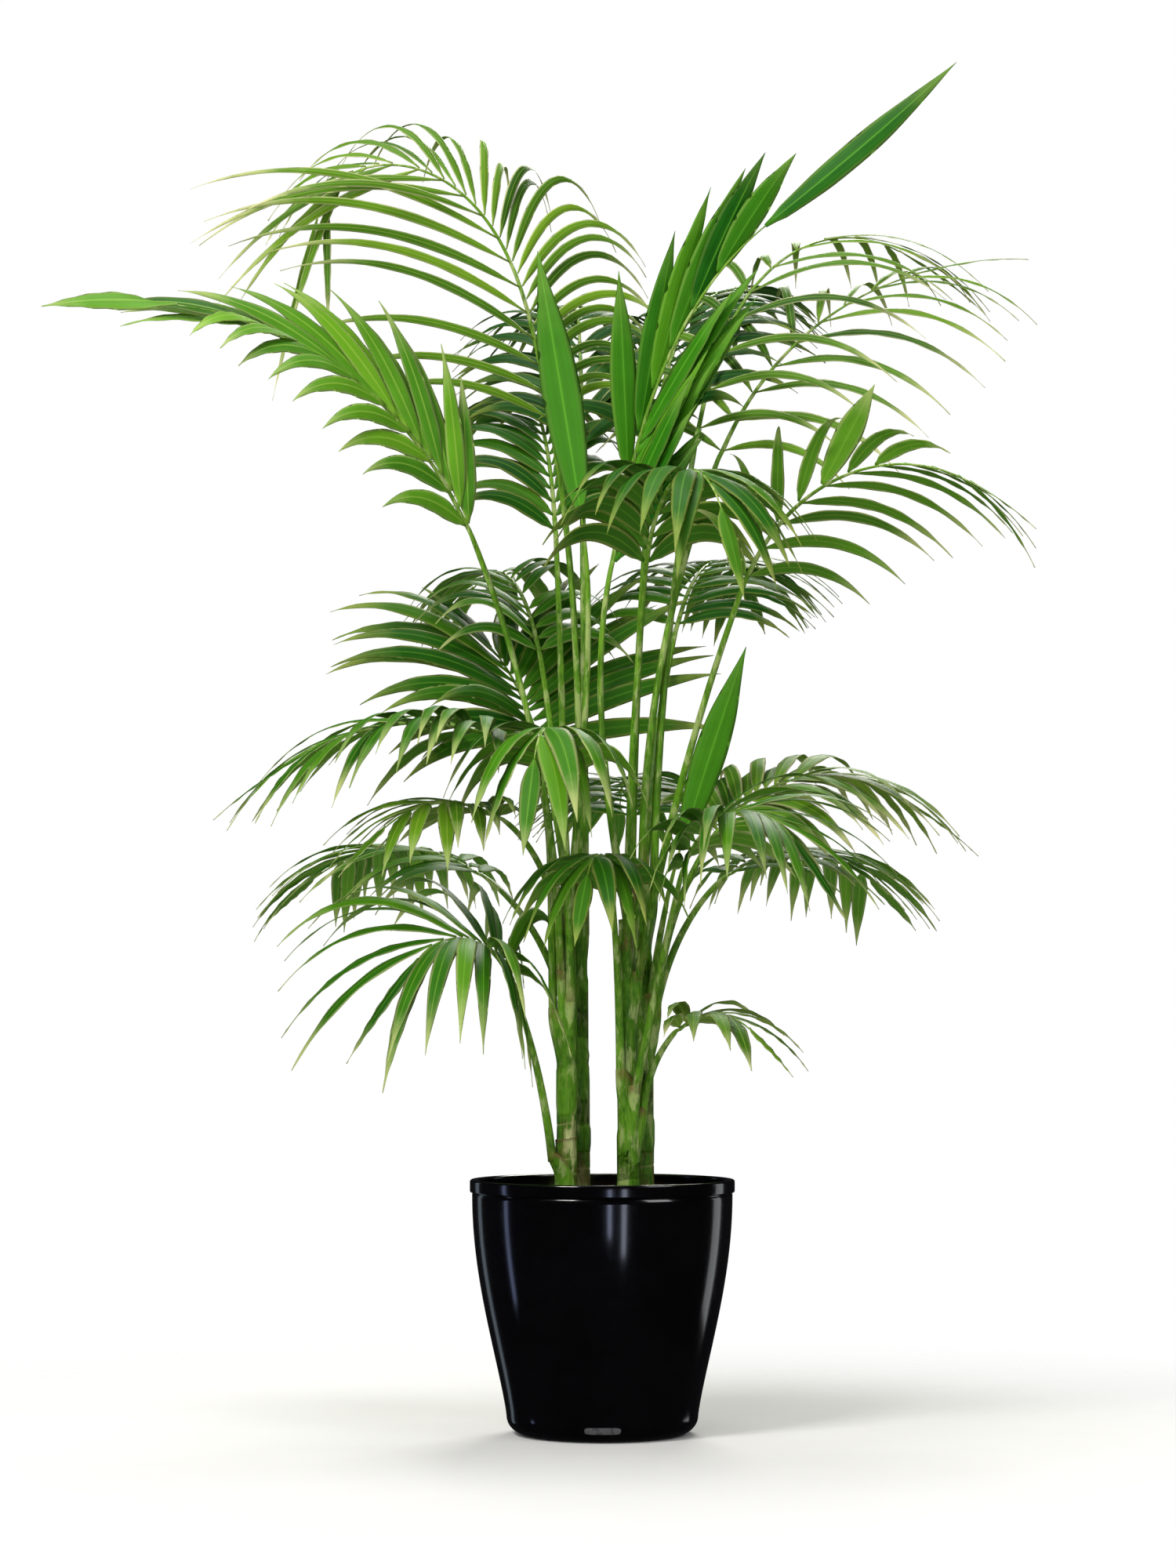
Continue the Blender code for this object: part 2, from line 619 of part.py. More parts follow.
def pot():
    profile = [(0.0, 0.0), (POT_FOOT_RADIUS, 0.0)]
    for turn in (30, 60, 90):
        height = POT_SHOULDER_HEIGHT * (1 - math.cos(math.radians(turn)))
        profile.append((pot_radius(height), height))
    for climb in np.linspace(0, 1, 7)[1:]:
        height = POT_SHOULDER_HEIGHT + climb * (POT_BODY_HEIGHT - POT_SHOULDER_HEIGHT)
        profile.append((pot_radius(height), height))
    round_off = 0.002
    inner = POT_RIM_RADIUS - POT_RIM_WIDTH
    profile += [(POT_RIM_RADIUS, POT_BODY_HEIGHT + round_off), (POT_RIM_RADIUS, POT_HEIGHT - round_off),
                (POT_RIM_RADIUS - round_off, POT_HEIGHT), (inner + round_off, POT_HEIGHT),
                (inner, POT_HEIGHT - round_off)]
    profile += pot_inside()[::-1]
    profile.append((0.0, POT_FLOOR))
    return turned("pot", profile, paint("pot_gloss_black", POT_BLACK, 0.08))


def soil():
    """Fills the planter 0.3 mm clear of its wall, with a level middle under the stems."""
    radii, heights = np.array(pot_inside()).T
    edge_height = SOIL_TOP - SOIL_RISE
    levels = [POT_FLOOR + GAP] + [height for height in heights[1:] if height < edge_height]
    levels.append(edge_height)
    profile = [(0.0, POT_FLOOR + GAP)]
    profile += [(float(np.interp(level, heights, radii)) - GAP, level) for level in levels]
    profile += [(SOIL_CORE_RADIUS, SOIL_TOP), (0.0, SOIL_TOP)]
    return turned("soil", profile, paint("soil_brown", SOIL_BROWN, 0.95))


def paint(name, colour, roughness):
    material = bpy.data.materials.new(name)
    material.use_nodes = True
    shader = material.node_tree.nodes["Principled BSDF"]
    shader.inputs["Base Color"].default_value = (*colour, 1.0)
    shader.inputs["Roughness"].default_value = roughness
    shader.inputs["Metallic"].default_value = 0.0
    return material


def finish(name, shape, material):
    """Closes the bmesh into a named object with outward faces of three corners."""
    bmesh.ops.recalc_face_normals(shape, faces=shape.faces)
    bmesh.ops.triangulate(shape, faces=shape.faces)
    mesh = bpy.data.meshes.new(name)
    shape.to_mesh(mesh)
    shape.free()
    mesh.materials.append(material)
    mesh.shade_smooth()
    mesh.set_sharp_from_angle(angle=math.radians(35))
    piece = bpy.data.objects.new(name, mesh)
    bpy.context.scene.collection.objects.link(piece)
    return piece


def solid(name, points, faces, material):
    shape = bmesh.new()
    corners = [shape.verts.new(point) for point in points]
    for face in faces:
        shape.faces.new([corners[number] for number in face])
    return finish(name, shape, material)


def lay_out():
    """Paths of all fronds, and the room that stems, stalks, ribs, soil and planter take."""
    paths = {frond["name"]: follow(frond, seat_on_stem(frond)) for frond in FRONDS}
    room = Room()
    for stem in STEMS.values():
        room.put("stem", "rib", *stem_solid(stem))
    for frond in FRONDS:
        room.put("stalk", "rib", *stalk(frond, paths[frond["name"]]))
        room.put(frond["name"], "rib", *rachis(frond, paths[frond["name"]]))
    return paths, room


def build():
    for old in list(bpy.data.objects):
        bpy.data.objects.remove(old)
    paths, room = lay_out()
    for piece in (pot(), soil()):
        corners = [tuple(corner.co) for corner in piece.data.vertices]
        room.put(piece.name, "rib", corners, [tuple(face.vertices) for face in piece.data.polygons])
    stem_green = paint("stem_green", STEM_GREEN, 0.55)
    for name, stem in STEMS.items():
        solid("stem_" + name, *stem_solid(stem), stem_green)
    leaves = grow_leaves(paths, room)
    stalk_green = paint("stalk_green", STALK_GREEN, 0.45)
    leaf_young = paint("leaf_young", YOUNG_GREEN, 0.4)
    leaf_green = paint("leaf_green", LEAF_GREEN, 0.42)
    for frond in FRONDS:
        path = paths[frond["name"]]
        green = leaf_young if frond["broadest"] > 0.4 else leaf_green
        solid(frond["name"] + "_stalk", *stalk(frond, path), stalk_green)
        solid(frond["name"] + "_blade", *blade(frond, path, leaves[frond["name"]]), green)


build()
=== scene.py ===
import math

import bpy
import numpy as np
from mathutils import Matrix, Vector
from mathutils.bvhtree import BVHTree


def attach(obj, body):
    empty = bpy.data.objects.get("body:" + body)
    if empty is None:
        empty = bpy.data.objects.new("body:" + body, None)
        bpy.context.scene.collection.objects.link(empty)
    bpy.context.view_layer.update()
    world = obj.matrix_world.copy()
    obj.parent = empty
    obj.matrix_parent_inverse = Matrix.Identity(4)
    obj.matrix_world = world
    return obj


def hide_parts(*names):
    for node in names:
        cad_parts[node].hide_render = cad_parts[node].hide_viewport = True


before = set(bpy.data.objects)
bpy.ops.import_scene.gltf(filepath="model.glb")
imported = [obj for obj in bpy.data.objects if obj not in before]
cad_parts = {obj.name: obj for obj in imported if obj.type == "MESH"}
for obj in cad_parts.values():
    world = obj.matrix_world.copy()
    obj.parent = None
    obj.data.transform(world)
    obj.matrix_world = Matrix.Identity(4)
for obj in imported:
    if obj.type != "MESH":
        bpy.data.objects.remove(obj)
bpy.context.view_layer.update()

# Kentia palm in a gloss planter. Metres, +Z up, the front looks towards -Y.
# The fronds grow here by the same rule as the frame's coarse ones, with finer leaflets.

gap = 0.0003
upward = np.array([0.0, 0.0, 1.0])


# small tools for arrays

def unit(vectors):
    # each vector over its own length
    return vectors / np.linalg.norm(vectors, axis=-1, keepdims=True)


def headingVector(degrees):
    # level direction at an angle from +X towards +Y
    turn = np.radians(degrees)
    return np.stack([np.cos(turn), np.sin(turn), np.zeros_like(turn)], -1)


def roundTurn(columns):
    # equal steps of angle once round
    return 2 * np.pi * np.arange(columns) / columns


def mixed(first, last, share):
    # first + (last - first) * share
    return first + (last - first) * share


def rotated(first, second, turn):
    # two coordinates turned about the third axis
    return first * np.cos(turn) - second * np.sin(turn), first * np.sin(turn) + second * np.cos(turn)


def smoothStep(values, low, high):
    # 3t^2 - 2t^3, where t is how far the value is from low to high
    t = np.clip((values - low) / (high - low), 0, 1)
    return t * t * (3 - 2 * t)


def lookUp(at, places, table):
    # every column of the table read between its rows
    return np.stack([np.interp(at, places, table[:, k]) for k in range(table.shape[1])], -1)


def ripples(points, scale, seed, layers=4):
    # sum of sines along random directions, each layer finer and weaker: a smooth noise from -1 to 1
    draw = np.random.default_rng(seed)
    total = np.zeros(points.shape[:-1])
    weight = 0.0
    for layer in range(layers):
        for _ in range(3):
            way = unit(draw.normal(size=3)) * scale * 1.9 ** layer
            total += np.sin(points @ way + draw.uniform(0, 6.28)) * 0.6 ** layer
        weight += 1.6 * 0.6 ** layer
    return total / weight


# meshes from grids

def gridCorners(rows, columns):
    # row and column of the four corners of every quad; the last column is yet to join the first
    row, column = np.meshgrid(np.arange(rows - 1), np.arange(columns), indexing="ij")
    rows, columns = (row, row, row + 1, row + 1), (column, column + 1, column + 1, column)
    return np.stack(rows, -1), np.stack(columns, -1)


def tubeQuads(rows, columns):
    # corner numbers of the quads between neighbouring rows, with the last column joined to the first
    row, column = gridCorners(rows, columns)
    return (row * columns + column % columns).reshape(-1, 4)


def withMiddles(values):
    # the values of all points, then their means over the first and the last ring
    return np.concatenate([values.reshape(-1, values.shape[-1]), values[:1].mean(1), values[-1:].mean(1)])


def closedTube(rings, along, masks):
    # rings of points (row, round, 3) running anticlockwise about the way the rows go; quads between
    # neighbours, and a fan to the middle of the first and the last ring
    rows, columns = rings.shape[:2]
    row, column = gridCorners(rows, columns)
    turn = np.arange(columns)
    after = (turn + 1) % columns
    last = (rows - 1) * columns
    firstFan = np.stack([after, turn, np.full(columns, rows * columns)], -1)
    lastFan = np.stack([last + turn, last + after, np.full(columns, rows * columns + 1)], -1)
    fanU = np.tile(np.stack([turn, turn + 1, turn + 0.5], -1) / columns, (2, 1))
    fanV = np.repeat(along[[0, -1]], columns)[:, None] * np.ones(3)
    return dict(points=withMiddles(rings), quads=tubeQuads(rows, columns),
                fans=np.concatenate([firstFan, lastFan]),
                quadMap=np.stack([column / columns, along[row]], -1).reshape(-1, 2),
                fanMap=np.stack([fanU, fanV], -1).reshape(-1, 2), masks=withMiddles(masks))


def masksLike(rings, *channels):
    # four numbers for every point of the rings, 0 where no channel is given
    masks = np.zeros(rings.shape[:2] + (4,))
    for number, channel in enumerate(channels):
        masks[..., number] = channel
    return masks


def joined(parts):
    # several grids as one, with their corner numbers moved on
    starts = np.cumsum([0] + [len(part["points"]) for part in parts[:-1]])
    whole = {}
    for key in parts[0]:
        moved = key in ("quads", "fans")
        whole[key] = np.concatenate([part[key] + start * moved for part, start in zip(parts, starts)])
    return whole


def inScene(name, data):
    made = bpy.data.objects.new(name, data)
    bpy.context.scene.collection.objects.link(made)
    return made


def newPiece(name, grid, material, replaced, smooth=180):
    # the grid as one object, with its map and its masks, riding on the plant
    quads, fans = grid["quads"], grid["fans"]
    mesh = bpy.data.meshes.new(name)
    mesh.vertices.add(len(grid["points"]))
    mesh.vertices.foreach_set("co", grid["points"].astype(np.float32).ravel())
    corners = np.concatenate([quads.ravel(), fans.ravel()])
    mesh.loops.add(len(corners))
    mesh.loops.foreach_set("vertex_index", corners.astype(np.int32))
    mesh.polygons.add(len(quads) + len(fans))
    starts = np.concatenate([np.arange(len(quads)) * 4, quads.size + np.arange(len(fans)) * 3])
    mesh.polygons.foreach_set("loop_start", starts.astype(np.int32))
    mesh.update(calc_edges=True)
    surfaceMap = mesh.uv_layers.new(name="surfaceMap")
    flat = np.concatenate([grid["quadMap"], grid["fanMap"]])
    surfaceMap.data.foreach_set("uv", flat.astype(np.float32).ravel())
    masks = mesh.color_attributes.new("masks", "FLOAT_COLOR", "POINT")
    masks.data.foreach_set("color", grid["masks"].astype(np.float32).ravel())
    mesh.materials.append(material)
    mesh.shade_smooth()
    if smooth < 180:
        mesh.set_sharp_from_angle(angle=math.radians(smooth))
    piece = inScene(name, mesh)
    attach(piece, "root")
    if replaced:
        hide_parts(*replaced)


# shader tools

def wire(tree, kind, inputs=(), **settings):
    # a node whose named or numbered inputs hold values or are fed by other nodes' outputs
    made = tree.nodes.new("ShaderNode" + kind)
    for name, value in settings.items():
        setattr(made, name, value)
    for place, value in dict(inputs).items():
        if isinstance(value, bpy.types.NodeSocket):
            tree.links.new(value, made.inputs[place])
        else:
            made.inputs[place].default_value = value
    return made


def maths(tree, operation, first, second=0.0):
    return wire(tree, "Math", {0: first, 1: second}, operation=operation).outputs[0]


def times(tree, first, second):
    return maths(tree, "MULTIPLY", first, second)


def spread(tree, value, low, high, start=0.0, end=1.0):
    # start to end, eased, as the value goes from low to high
    places = {0: value, 1: low, 2: high, 3: start, 4: end}
    return wire(tree, "MapRange", places, interpolation_type="SMOOTHSTEP").outputs[0]


def plusScaled(tree, base, value, share):
    # base + value * share
    return maths(tree, "ADD", base, times(tree, value, share))


def blended(tree, share, first, second):
    return wire(tree, "Mix", {0: share, 6: first, 7: second}, data_type="RGBA").outputs[2]


def noise(tree, place, scale, detail, **more):
    return wire(tree, "TexNoise", {"Vector": place, "Scale": scale, "Detail": detail, **more}).outputs[0]


def objectPlace(tree):
    return wire(tree, "TexCoord").outputs["Object"]


def maskChannels(tree):
    # the mesh's masks, one value each
    masks = wire(tree, "VertexColor", layer_name="masks").outputs[0]
    return wire(tree, "SeparateColor", {0: masks}).outputs


def effect(name, inputs, outputs):
    # an empty shader group with named sockets, and its own two end nodes
    group = bpy.data.node_groups.new(name, "ShaderNodeTree")
    for label, kind, value in inputs:
        made = group.interface.new_socket(label, in_out="INPUT", socket_type="NodeSocket" + kind)
        made.default_value = value
    for label, kind in outputs:
        group.interface.new_socket(label, in_out="OUTPUT", socket_type="NodeSocket" + kind)
    return group, group.nodes.new("NodeGroupInput").outputs, group.nodes.new("NodeGroupOutput").inputs


def placed(tree, group, inputs):
    # the group as a node of this material
    return wire(tree, "Group", inputs, node_tree=group).outputs


def mottled(tree, body, scale, low, high, **more):
    # two colours by the mottle group
    colours = {"Low": (*low, 1), "High": (*high, 1)}
    return placed(tree, mottle, {"Vector": body, "Scale": scale, **colours, **more})


def newMaterial(name, roughness, specular=0.5, coat=0.0):
    material = bpy.data.materials.new(name)
    material.use_nodes = True
    shader = material.node_tree.nodes["Principled BSDF"]
    shader.inputs["Roughness"].default_value = roughness
    shader.inputs["Coat Weight"].default_value = coat
    shader.inputs["Specular IOR Level"].default_value = specular
    return material, material.node_tree, shader.inputs


def feed(tree, sockets, colour, roughness=None, height=None, strength=0.3, distance=0.001):
    tree.links.new(colour, sockets["Base Color"])
    if roughness is not None:
        tree.links.new(roughness, sockets["Roughness"])
    if height is not None:
        bump = wire(tree, "Bump", {"Strength": strength, "Distance": distance, "Height": height})
        tree.links.new(bump.outputs[0], sockets["Normal"])


def mottleEffect():
    # two colours mixed by a coarse and a fine noise, and the same noise as a height
    group, given, out = effect("mottle", [
        ("Vector", "Vector", (0, 0, 0)), ("Scale", "Float", 20.0), ("Amount", "Float", 1.0),
        ("Low", "Color", (0, 0, 0, 1)), ("High", "Color", (1, 1, 1, 1))],
        [("Color", "Color"), ("Value", "Float")])
    coarse = noise(group, given["Vector"], given["Scale"], 4.0)
    fine = noise(group, given["Vector"], times(group, given["Scale"], 7.0), 2.0)
    both = plusScaled(group, times(group, coarse, 0.7), fine, 0.3)
    value = times(group, spread(group, both, 0.36, 0.64), given["Amount"])
    group.links.new(blended(group, value, given["Low"], given["High"]), out["Color"])
    group.links.new(value, out["Value"])
    return group


def leafEffect():
    # a leaflet by its map: across runs from edge to edge, along from root to tip. Midrib and fine
    # veins are paler, the underside is paler and duller, edges and tips turn to straw; the wide straw band
    # along the edges is partly dry edge and partly a painted highlight
    group, given, out = effect("leafSurface", [
        ("Map", "Vector", (0, 0, 0)), ("Tone", "Float", 0.5), ("Under", "Float", 0.0), ("DryAndSheen", "Float", 0.0),
        ("Leaf", "Color", (0, 0.2, 0, 1)), ("Pale", "Color", (0.2, 0.4, 0.1, 1)),
        ("Straw", "Color", (0.4, 0.3, 0.1, 1)), ("Vector", "Vector", (0, 0, 0))],
        [("Color", "Color"), ("Roughness", "Float"), ("Height", "Float")])
    parts = wire(group, "SeparateXYZ", {0: given["Map"]}).outputs
    offCentre = maths(group, "ABSOLUTE", maths(group, "SUBTRACT", parts[0], 0.5))
    midrib = spread(group, offCentre, 0.012, 0.045, 1.0, 0.0)
    lines = maths(group, "SINE", times(group, parts[0], 113.0))
    bold = maths(group, "SINE", times(group, offCentre, 30.0))
    blotch = noise(group, given["Vector"], 26.0, 3.0)
    brightness = maths(group, "ADD", given["Tone"], 0.30)
    for pattern, share in ((blotch, 0.45), (lines, 0.07), (bold, 0.06)):
        brightness = plusScaled(group, brightness, pattern, share)
    hue = plusScaled(group, 0.512, given["Tone"], -0.035)
    green = wire(group, "HueSaturation", {"Hue": hue, "Value": brightness, "Color": given["Leaf"]}).outputs[0]
    under = times(group, given["Under"], 0.30)
    rib = times(group, midrib, 0.60)
    root = spread(group, parts[1], 0.0, 0.12, 0.35, 0.0)
    for share in (under, rib, root):
        green = blended(group, share, green, given["Pale"])
    # a wide straw band along both edges: partly dried edge, partly a painted highlight
    edge = spread(group, offCentre, 0.31, 0.48, 0.0, 0.85)
    tip = spread(group, plusScaled(group, parts[1], blotch, 0.22), 0.74, 1.06)
    dry = times(group, maths(group, "MAXIMUM", edge, tip), given["DryAndSheen"])
    group.links.new(blended(group, dry, green, given["Straw"]), out["Color"])
    dull = plusScaled(group, 0.42, given["Under"], 0.2)
    group.links.new(plusScaled(group, dull, blotch, 0.12), out["Roughness"])
    raised = maths(group, "SUBTRACT", times(group, bold, 0.5), midrib)
    group.links.new(plusScaled(group, raised, lines, 0.35), out["Height"])
    return group


def caneEffect():
    # green cane skin: cream in tall patches, partly a real pale bloom and partly a painted highlight; fine
    # lengthwise fibres, paler on their ridges as a painted highlight and near black green in their grooves as
    # painted shade; brown scurf where asked
    group, given, out = effect("caneSkin", [
        ("Vector", "Vector", (0, 0, 0)), ("Green", "Color", (0.05, 0.2, 0.01, 1)), ("Cream", "Float", 0.6),
        ("Brown", "Float", 0.0)], [("Color", "Color"), ("Fibre", "Float")])
    tall = wire(group, "Mapping", {0: given["Vector"], 3: (1.0, 1.0, 0.28)}).outputs[0]
    bloomAndSheen = noise(group, tall, 70.0, 4.0, Roughness=0.6)
    stretched = wire(group, "Mapping", {0: given["Vector"], 3: (60.0, 60.0, 4.0)}).outputs[0]
    fibre = noise(group, stretched, 8.0, 3.0)
    scurf = noise(group, tall, 120.0, 3.0)
    # cream where the tall noise rises: partly a real pale bloom, partly a painted highlight that brightens
    # the cane
    cream = times(group, spread(group, bloomAndSheen, 0.50, 0.61), given["Cream"])
    colour = blended(group, cream, given["Green"], (0.60, 0.66, 0.28, 1))
    # paler green where the fibres' bump rises: a painted highlight on their ridges
    colour = blended(group, spread(group, fibre, 0.50, 0.72, 0.0, 0.45), colour, (0.30, 0.40, 0.07, 1))
    # near black green where the fibres' bump sinks: painted shade in their grooves
    shade = spread(group, fibre, 0.28, 0.46, 0.55, 0.0)
    colour = blended(group, shade, colour, (0.012, 0.060, 0.002, 1))
    brown = times(group, spread(group, scurf, 0.38, 0.58, 0.15, 1.0), given["Brown"])
    group.links.new(blended(group, brown, colour, (0.17, 0.105, 0.035, 1)), out["Color"])
    group.links.new(fibre, out["Fibre"])
    return group


mottle = mottleEffect()
leafSurface = leafEffect()
caneSkin = caneEffect()


def leafMaterial(name, leaf, pale, straw):
    material, tree, sockets = newMaterial(name, 0.4, 0.16)
    channels = maskChannels(tree)
    made = placed(tree, leafSurface, {
        "Map": wire(tree, "UVMap", uv_map="surfaceMap").outputs[0],
        "Tone": channels[0], "Under": channels[1], "DryAndSheen": channels[2],
        "Leaf": (*leaf, 1), "Pale": (*pale, 1), "Straw": (*straw, 1),
        "Vector": objectPlace(tree)})
    feed(tree, sockets, made["Color"], made["Roughness"], made["Height"], 0.25, 0.0005)
    return material


# leaf, pale and straw colours of each shade; the straw also paints a highlight along the leaflets' edges
shades = {
    "deep": ((0.009, 0.080, 0.008), (0.06, 0.21, 0.025), (0.28, 0.36, 0.06)),
    "dark": ((0.020, 0.125, 0.004), (0.11, 0.29, 0.02), (0.42, 0.48, 0.11)),
    "middle": ((0.034, 0.172, 0.004), (0.17, 0.36, 0.03), (0.58, 0.62, 0.24)),
    "light": ((0.062, 0.235, 0.008), (0.32, 0.48, 0.07), (0.62, 0.65, 0.26)),
    "fresh": ((0.029, 0.195, 0.005), (0.14, 0.44, 0.03), (0.45, 0.60, 0.14)),
    # olive: a yellower, paler green; on arch_left it stands in for light shining through thin leaflets from
    # behind, a painted glow
    "olive": ((0.070, 0.205, 0.008), (0.30, 0.43, 0.06), (0.68, 0.68, 0.32)),
}
greens = {shade: leafMaterial("leaf" + shade.capitalize(), *colours) for shade, colours in shades.items()}

# the habit of a frond's leaflets. Spread is the angle to the rib and fold the angle above the
# blade, at the first and last pair; low and end are lengths there as shares of the longest;
# broadest is where along its length a leaflet is widest
habits = {
    "arching": dict(spread=(66, 26), fold=(8, 0), droop=1.25, low=0.75, end=0.62, width=0.025, broadest=0.30),
    "airy": dict(spread=(56, 28), fold=(6, 0), droop=0.90, low=0.75, end=0.62, width=0.021, broadest=0.30),
    "young": dict(spread=(30, 8), fold=(20, 10), droop=0.25, low=0.75, end=0.80, width=0.028, broadest=0.45),
    "fan": dict(spread=(80, 20), fold=(14, 5), droop=0.60, low=0.90, end=0.75, width=0.026, broadest=0.30),
}


def frondOf(name, green, stem, height, seat, heading, leans, stalk, blade, leaflet, pairs, habit="arching",
            **changes):
    # leans are degrees from upright at the stalk's foot, at the first leaflets and at the tip;
    # tip is the end leaflet's length and width share and droop; left and right change one row's
    # spread, fold, length and droop; between is how many finer leaflets stand between two of the
    # frame's in the left and the right row, and close how far up their neighbours they may lie;
    # dry is how far edges and tips turn to straw, the edge band partly a painted highlight,
    # facing how far leaflets turn their face to the front, and slim the share of the solid's width that they
    # fill
    made = dict(habits[habit], stalkBend=1.0, bladeBend=1.0, roll=(0, 0), tip=(0.6, 0.8, 0.3),
                left=(0, 0, 1, 1), right=(0, 0, 1, 1), extra=None, between=(1, 1), close=0.05, dry=0.75,
                facing=0.0, slim=1.0)
    made.update(changes)
    made.update(name=name, green=green, stem=stem, height=height, seat=seat, heading=heading, leans=leans,
                stalk=stalk, blade=blade, leaflet=leaflet, pairs=pairs)
    return made


fronds = [
    # arch_left's pale olive green is painted backlight: light shining through its thin leaflets
    frondOf("arch_left", "olive", "left_rear", 0.7, None, 188, (-1, 10, 165), 0.65, 0.58, 0.44, 16, "airy",
            stalkBend=1.6, bladeBend=2.6, roll=(-85, -50), fold=(4, -4), droop=0.85, width=0.021,
            spread=(54, 28), low=0.55, end=0.4, right=(0, 0, 0.62, 1.9), dry=1.0, between=(0, 1), slim=0.66),
    frondOf("reach_left", "light", "left_front", 0.6, 240, 205, (1, 24, 88), 0.6, 0.52, 0.24, 11,
            spread=(32, 16), fold=(10, 0), roll=(-70, -10), droop=0.9, width=0.03, left=(4, 0, 0.8, 1.2),
            right=(-8, 0, 1.1, 0.7), tip=(0.75, 1.3, 0.3), facing=1.0, dry=0.5, close=0.6, between=(0, 1)),
    frondOf("young_centre", "fresh", "left_front", 0.66, None, 185, (-5, 2, 9), 0.47, 0.09, 0.36, 2, "young",
            stalkBend=3.0, width=0.048, spread=(9, 5), fold=(12, 8), roll=(80, 80), right=(0, 22, 1, 1),
            tip=(1.0, 1.1, 0.1), dry=0.2, between=(0, 0)),
    frondOf("spear_right", "fresh", "right_front", 0.68, None, 340, (-10, 11, 55), 0.46, 0.52, 0.27, 9,
            "young", stalkBend=2.0, bladeBend=2.0, spread=(9, 5), fold=(22, 15), roll=(90, 90), width=0.038,
            end=0.55, right=(7, -6, 1, 1), tip=(1.21, 0.9, -0.1), between=(3, 3), close=0.75, dry=0.3),
    frondOf("upper_right", "olive", "right_rear", 0.74, None, 20, (0, 22, 72), 0.58, 0.42, 0.3, 9,
            roll=(40, 20), width=0.017, dry=1.0, between=(0, 0), slim=0.8),
    frondOf("high_right", "olive", "right_rear", 0.7, 30, 35, (1, 12, 108), 0.64, 0.54, 0.29, 10,
            roll=(30, 10), bladeBend=1.5, width=0.017, left=(0, 0, 0.7, 1.2), dry=1.0, between=(0, 0),
            slim=0.8),
    frondOf("side_right", "middle", "right_front", 0.6, 330, 325, (12, 24, 120), 0.54, 0.4, 0.23, 10,
            spread=(56, 22), roll=(-35, -10), width=0.022, right=(-10, 35, 0.7, 0.8), tip=(0.5, 0.8, 0.3),
            extra=(0.42, -1, 30, 55, 0.15, 0.042, 0.0), between=(0, 0), dry=0.9, slim=0.85),
    frondOf("facing_front", "dark", "right_front", 0.64, 270, 290, (2, 14, 145), 0.5, 0.34, 0.24, 10,
            spread=(48, 25), droop=1.8, width=0.03),
    frondOf("fan_middle", "dark", "left_rear", 0.62, 120, 130, (4, 22, 52), 0.31, 0.18, 0.31, 11, "fan",
            spread=(84, 14), fold=(28, 14), droop=0.36, width=0.03, left=(0, -18, 0.92, 2.6), facing=0.4),
    frondOf("mid_left", "middle", "left_front", 0.55, 180, 200, (1, 70, 120), 0.39, 0.28, 0.26, 10,
            stalkBend=6),
    frondOf("facing_low", "middle", "left_front", 0.57, 285, 258, (3, 16, 150), 0.29, 0.22, 0.23, 7,
            width=0.034, spread=(44, 18), fold=(0, -10), droop=2.6),
    frondOf("small_left", "olive", "left_rear", 0.52, 210, 222, (1, 63, 126), 0.33, 0.21, 0.17, 7,
            stalkBend=2),
    frondOf("mid_right", "olive", "right_rear", 0.55, 0, 12, (2, 34, 120), 0.26, 0.29, 0.24, 10, roll=(30, 0),
            dry=1.0),
    frondOf("mid_right_front", "middle", "right_front", 0.45, 300, 318, (14, 17, 137), 0.3, 0.23, 0.24, 9,
            roll=(30, 0)),
    frondOf("facing_small", "dark", "right_front", 0.47, 240, 256, (3, 18, 140), 0.24, 0.17, 0.19, 6,
            width=0.03, spread=(46, 20), fold=(0, -10), droop=2.4),
    frondOf("young_right", "fresh", "right_rear", 0.57, 300, 15, (8, 12, 18), 0.13, 0.09, 0.28, 2, "young",
            width=0.044, spread=(9, 5), fold=(12, 8), roll=(80, 80), right=(0, 22, 1, 1), tip=(1, 1, 0.1),
            dry=0.2, between=(0, 0)),
    frondOf("low_left", "middle", "left_front", 0.36, 210, 218, (8, 24, 136), 0.25, 0.18, 0.29, 9, "fan",
            roll=(-40, -10), droop=1.5),
    frondOf("low_right", "olive", "right_front", 0.42, 0, 330, (3, 45, 130), 0.125, 0.12, 0.15, 5),
    frondOf("rear_top", "deep", "left_rear", 0.66, 60, 92, (3, 15, 92), 0.68, 0.48, 0.24, 11,
            spread=(48, 22)),
    frondOf("rear_top_right", "deep", "right_rear", 0.71, 150, 66, (2, 12, 90), 0.62, 0.48, 0.24, 11,
            spread=(48, 22)),
    frondOf("rear_top_left", "dark", "left_rear", 0.64, 180, 101, (2, 13, 95), 0.57, 0.46, 0.2, 11,
            spread=(44, 20)),
    frondOf("rear_middle_right", "dark", "right_rear", 0.64, 90, 72, (3, 36, 112), 0.48, 0.4, 0.22, 10),
    frondOf("rear_middle_left", "middle", "left_front", 0.6, 90, 108, (3, 28, 112), 0.46, 0.4, 0.21, 10,
            spread=(52, 24), droop=1.6),
    frondOf("rear_low", "dark", "right_rear", 0.54, 120, 92, (8, 50, 118), 0.33, 0.36, 0.2, 10),
    frondOf("rear_low_left", "middle", "left_rear", 0.5, 120, 140, (6, 60, 118), 0.3, 0.34, 0.21, 9),
    frondOf("rear_low_right", "middle", "right_rear", 0.5, 60, 48, (6, 60, 118), 0.3, 0.34, 0.22, 9),
]

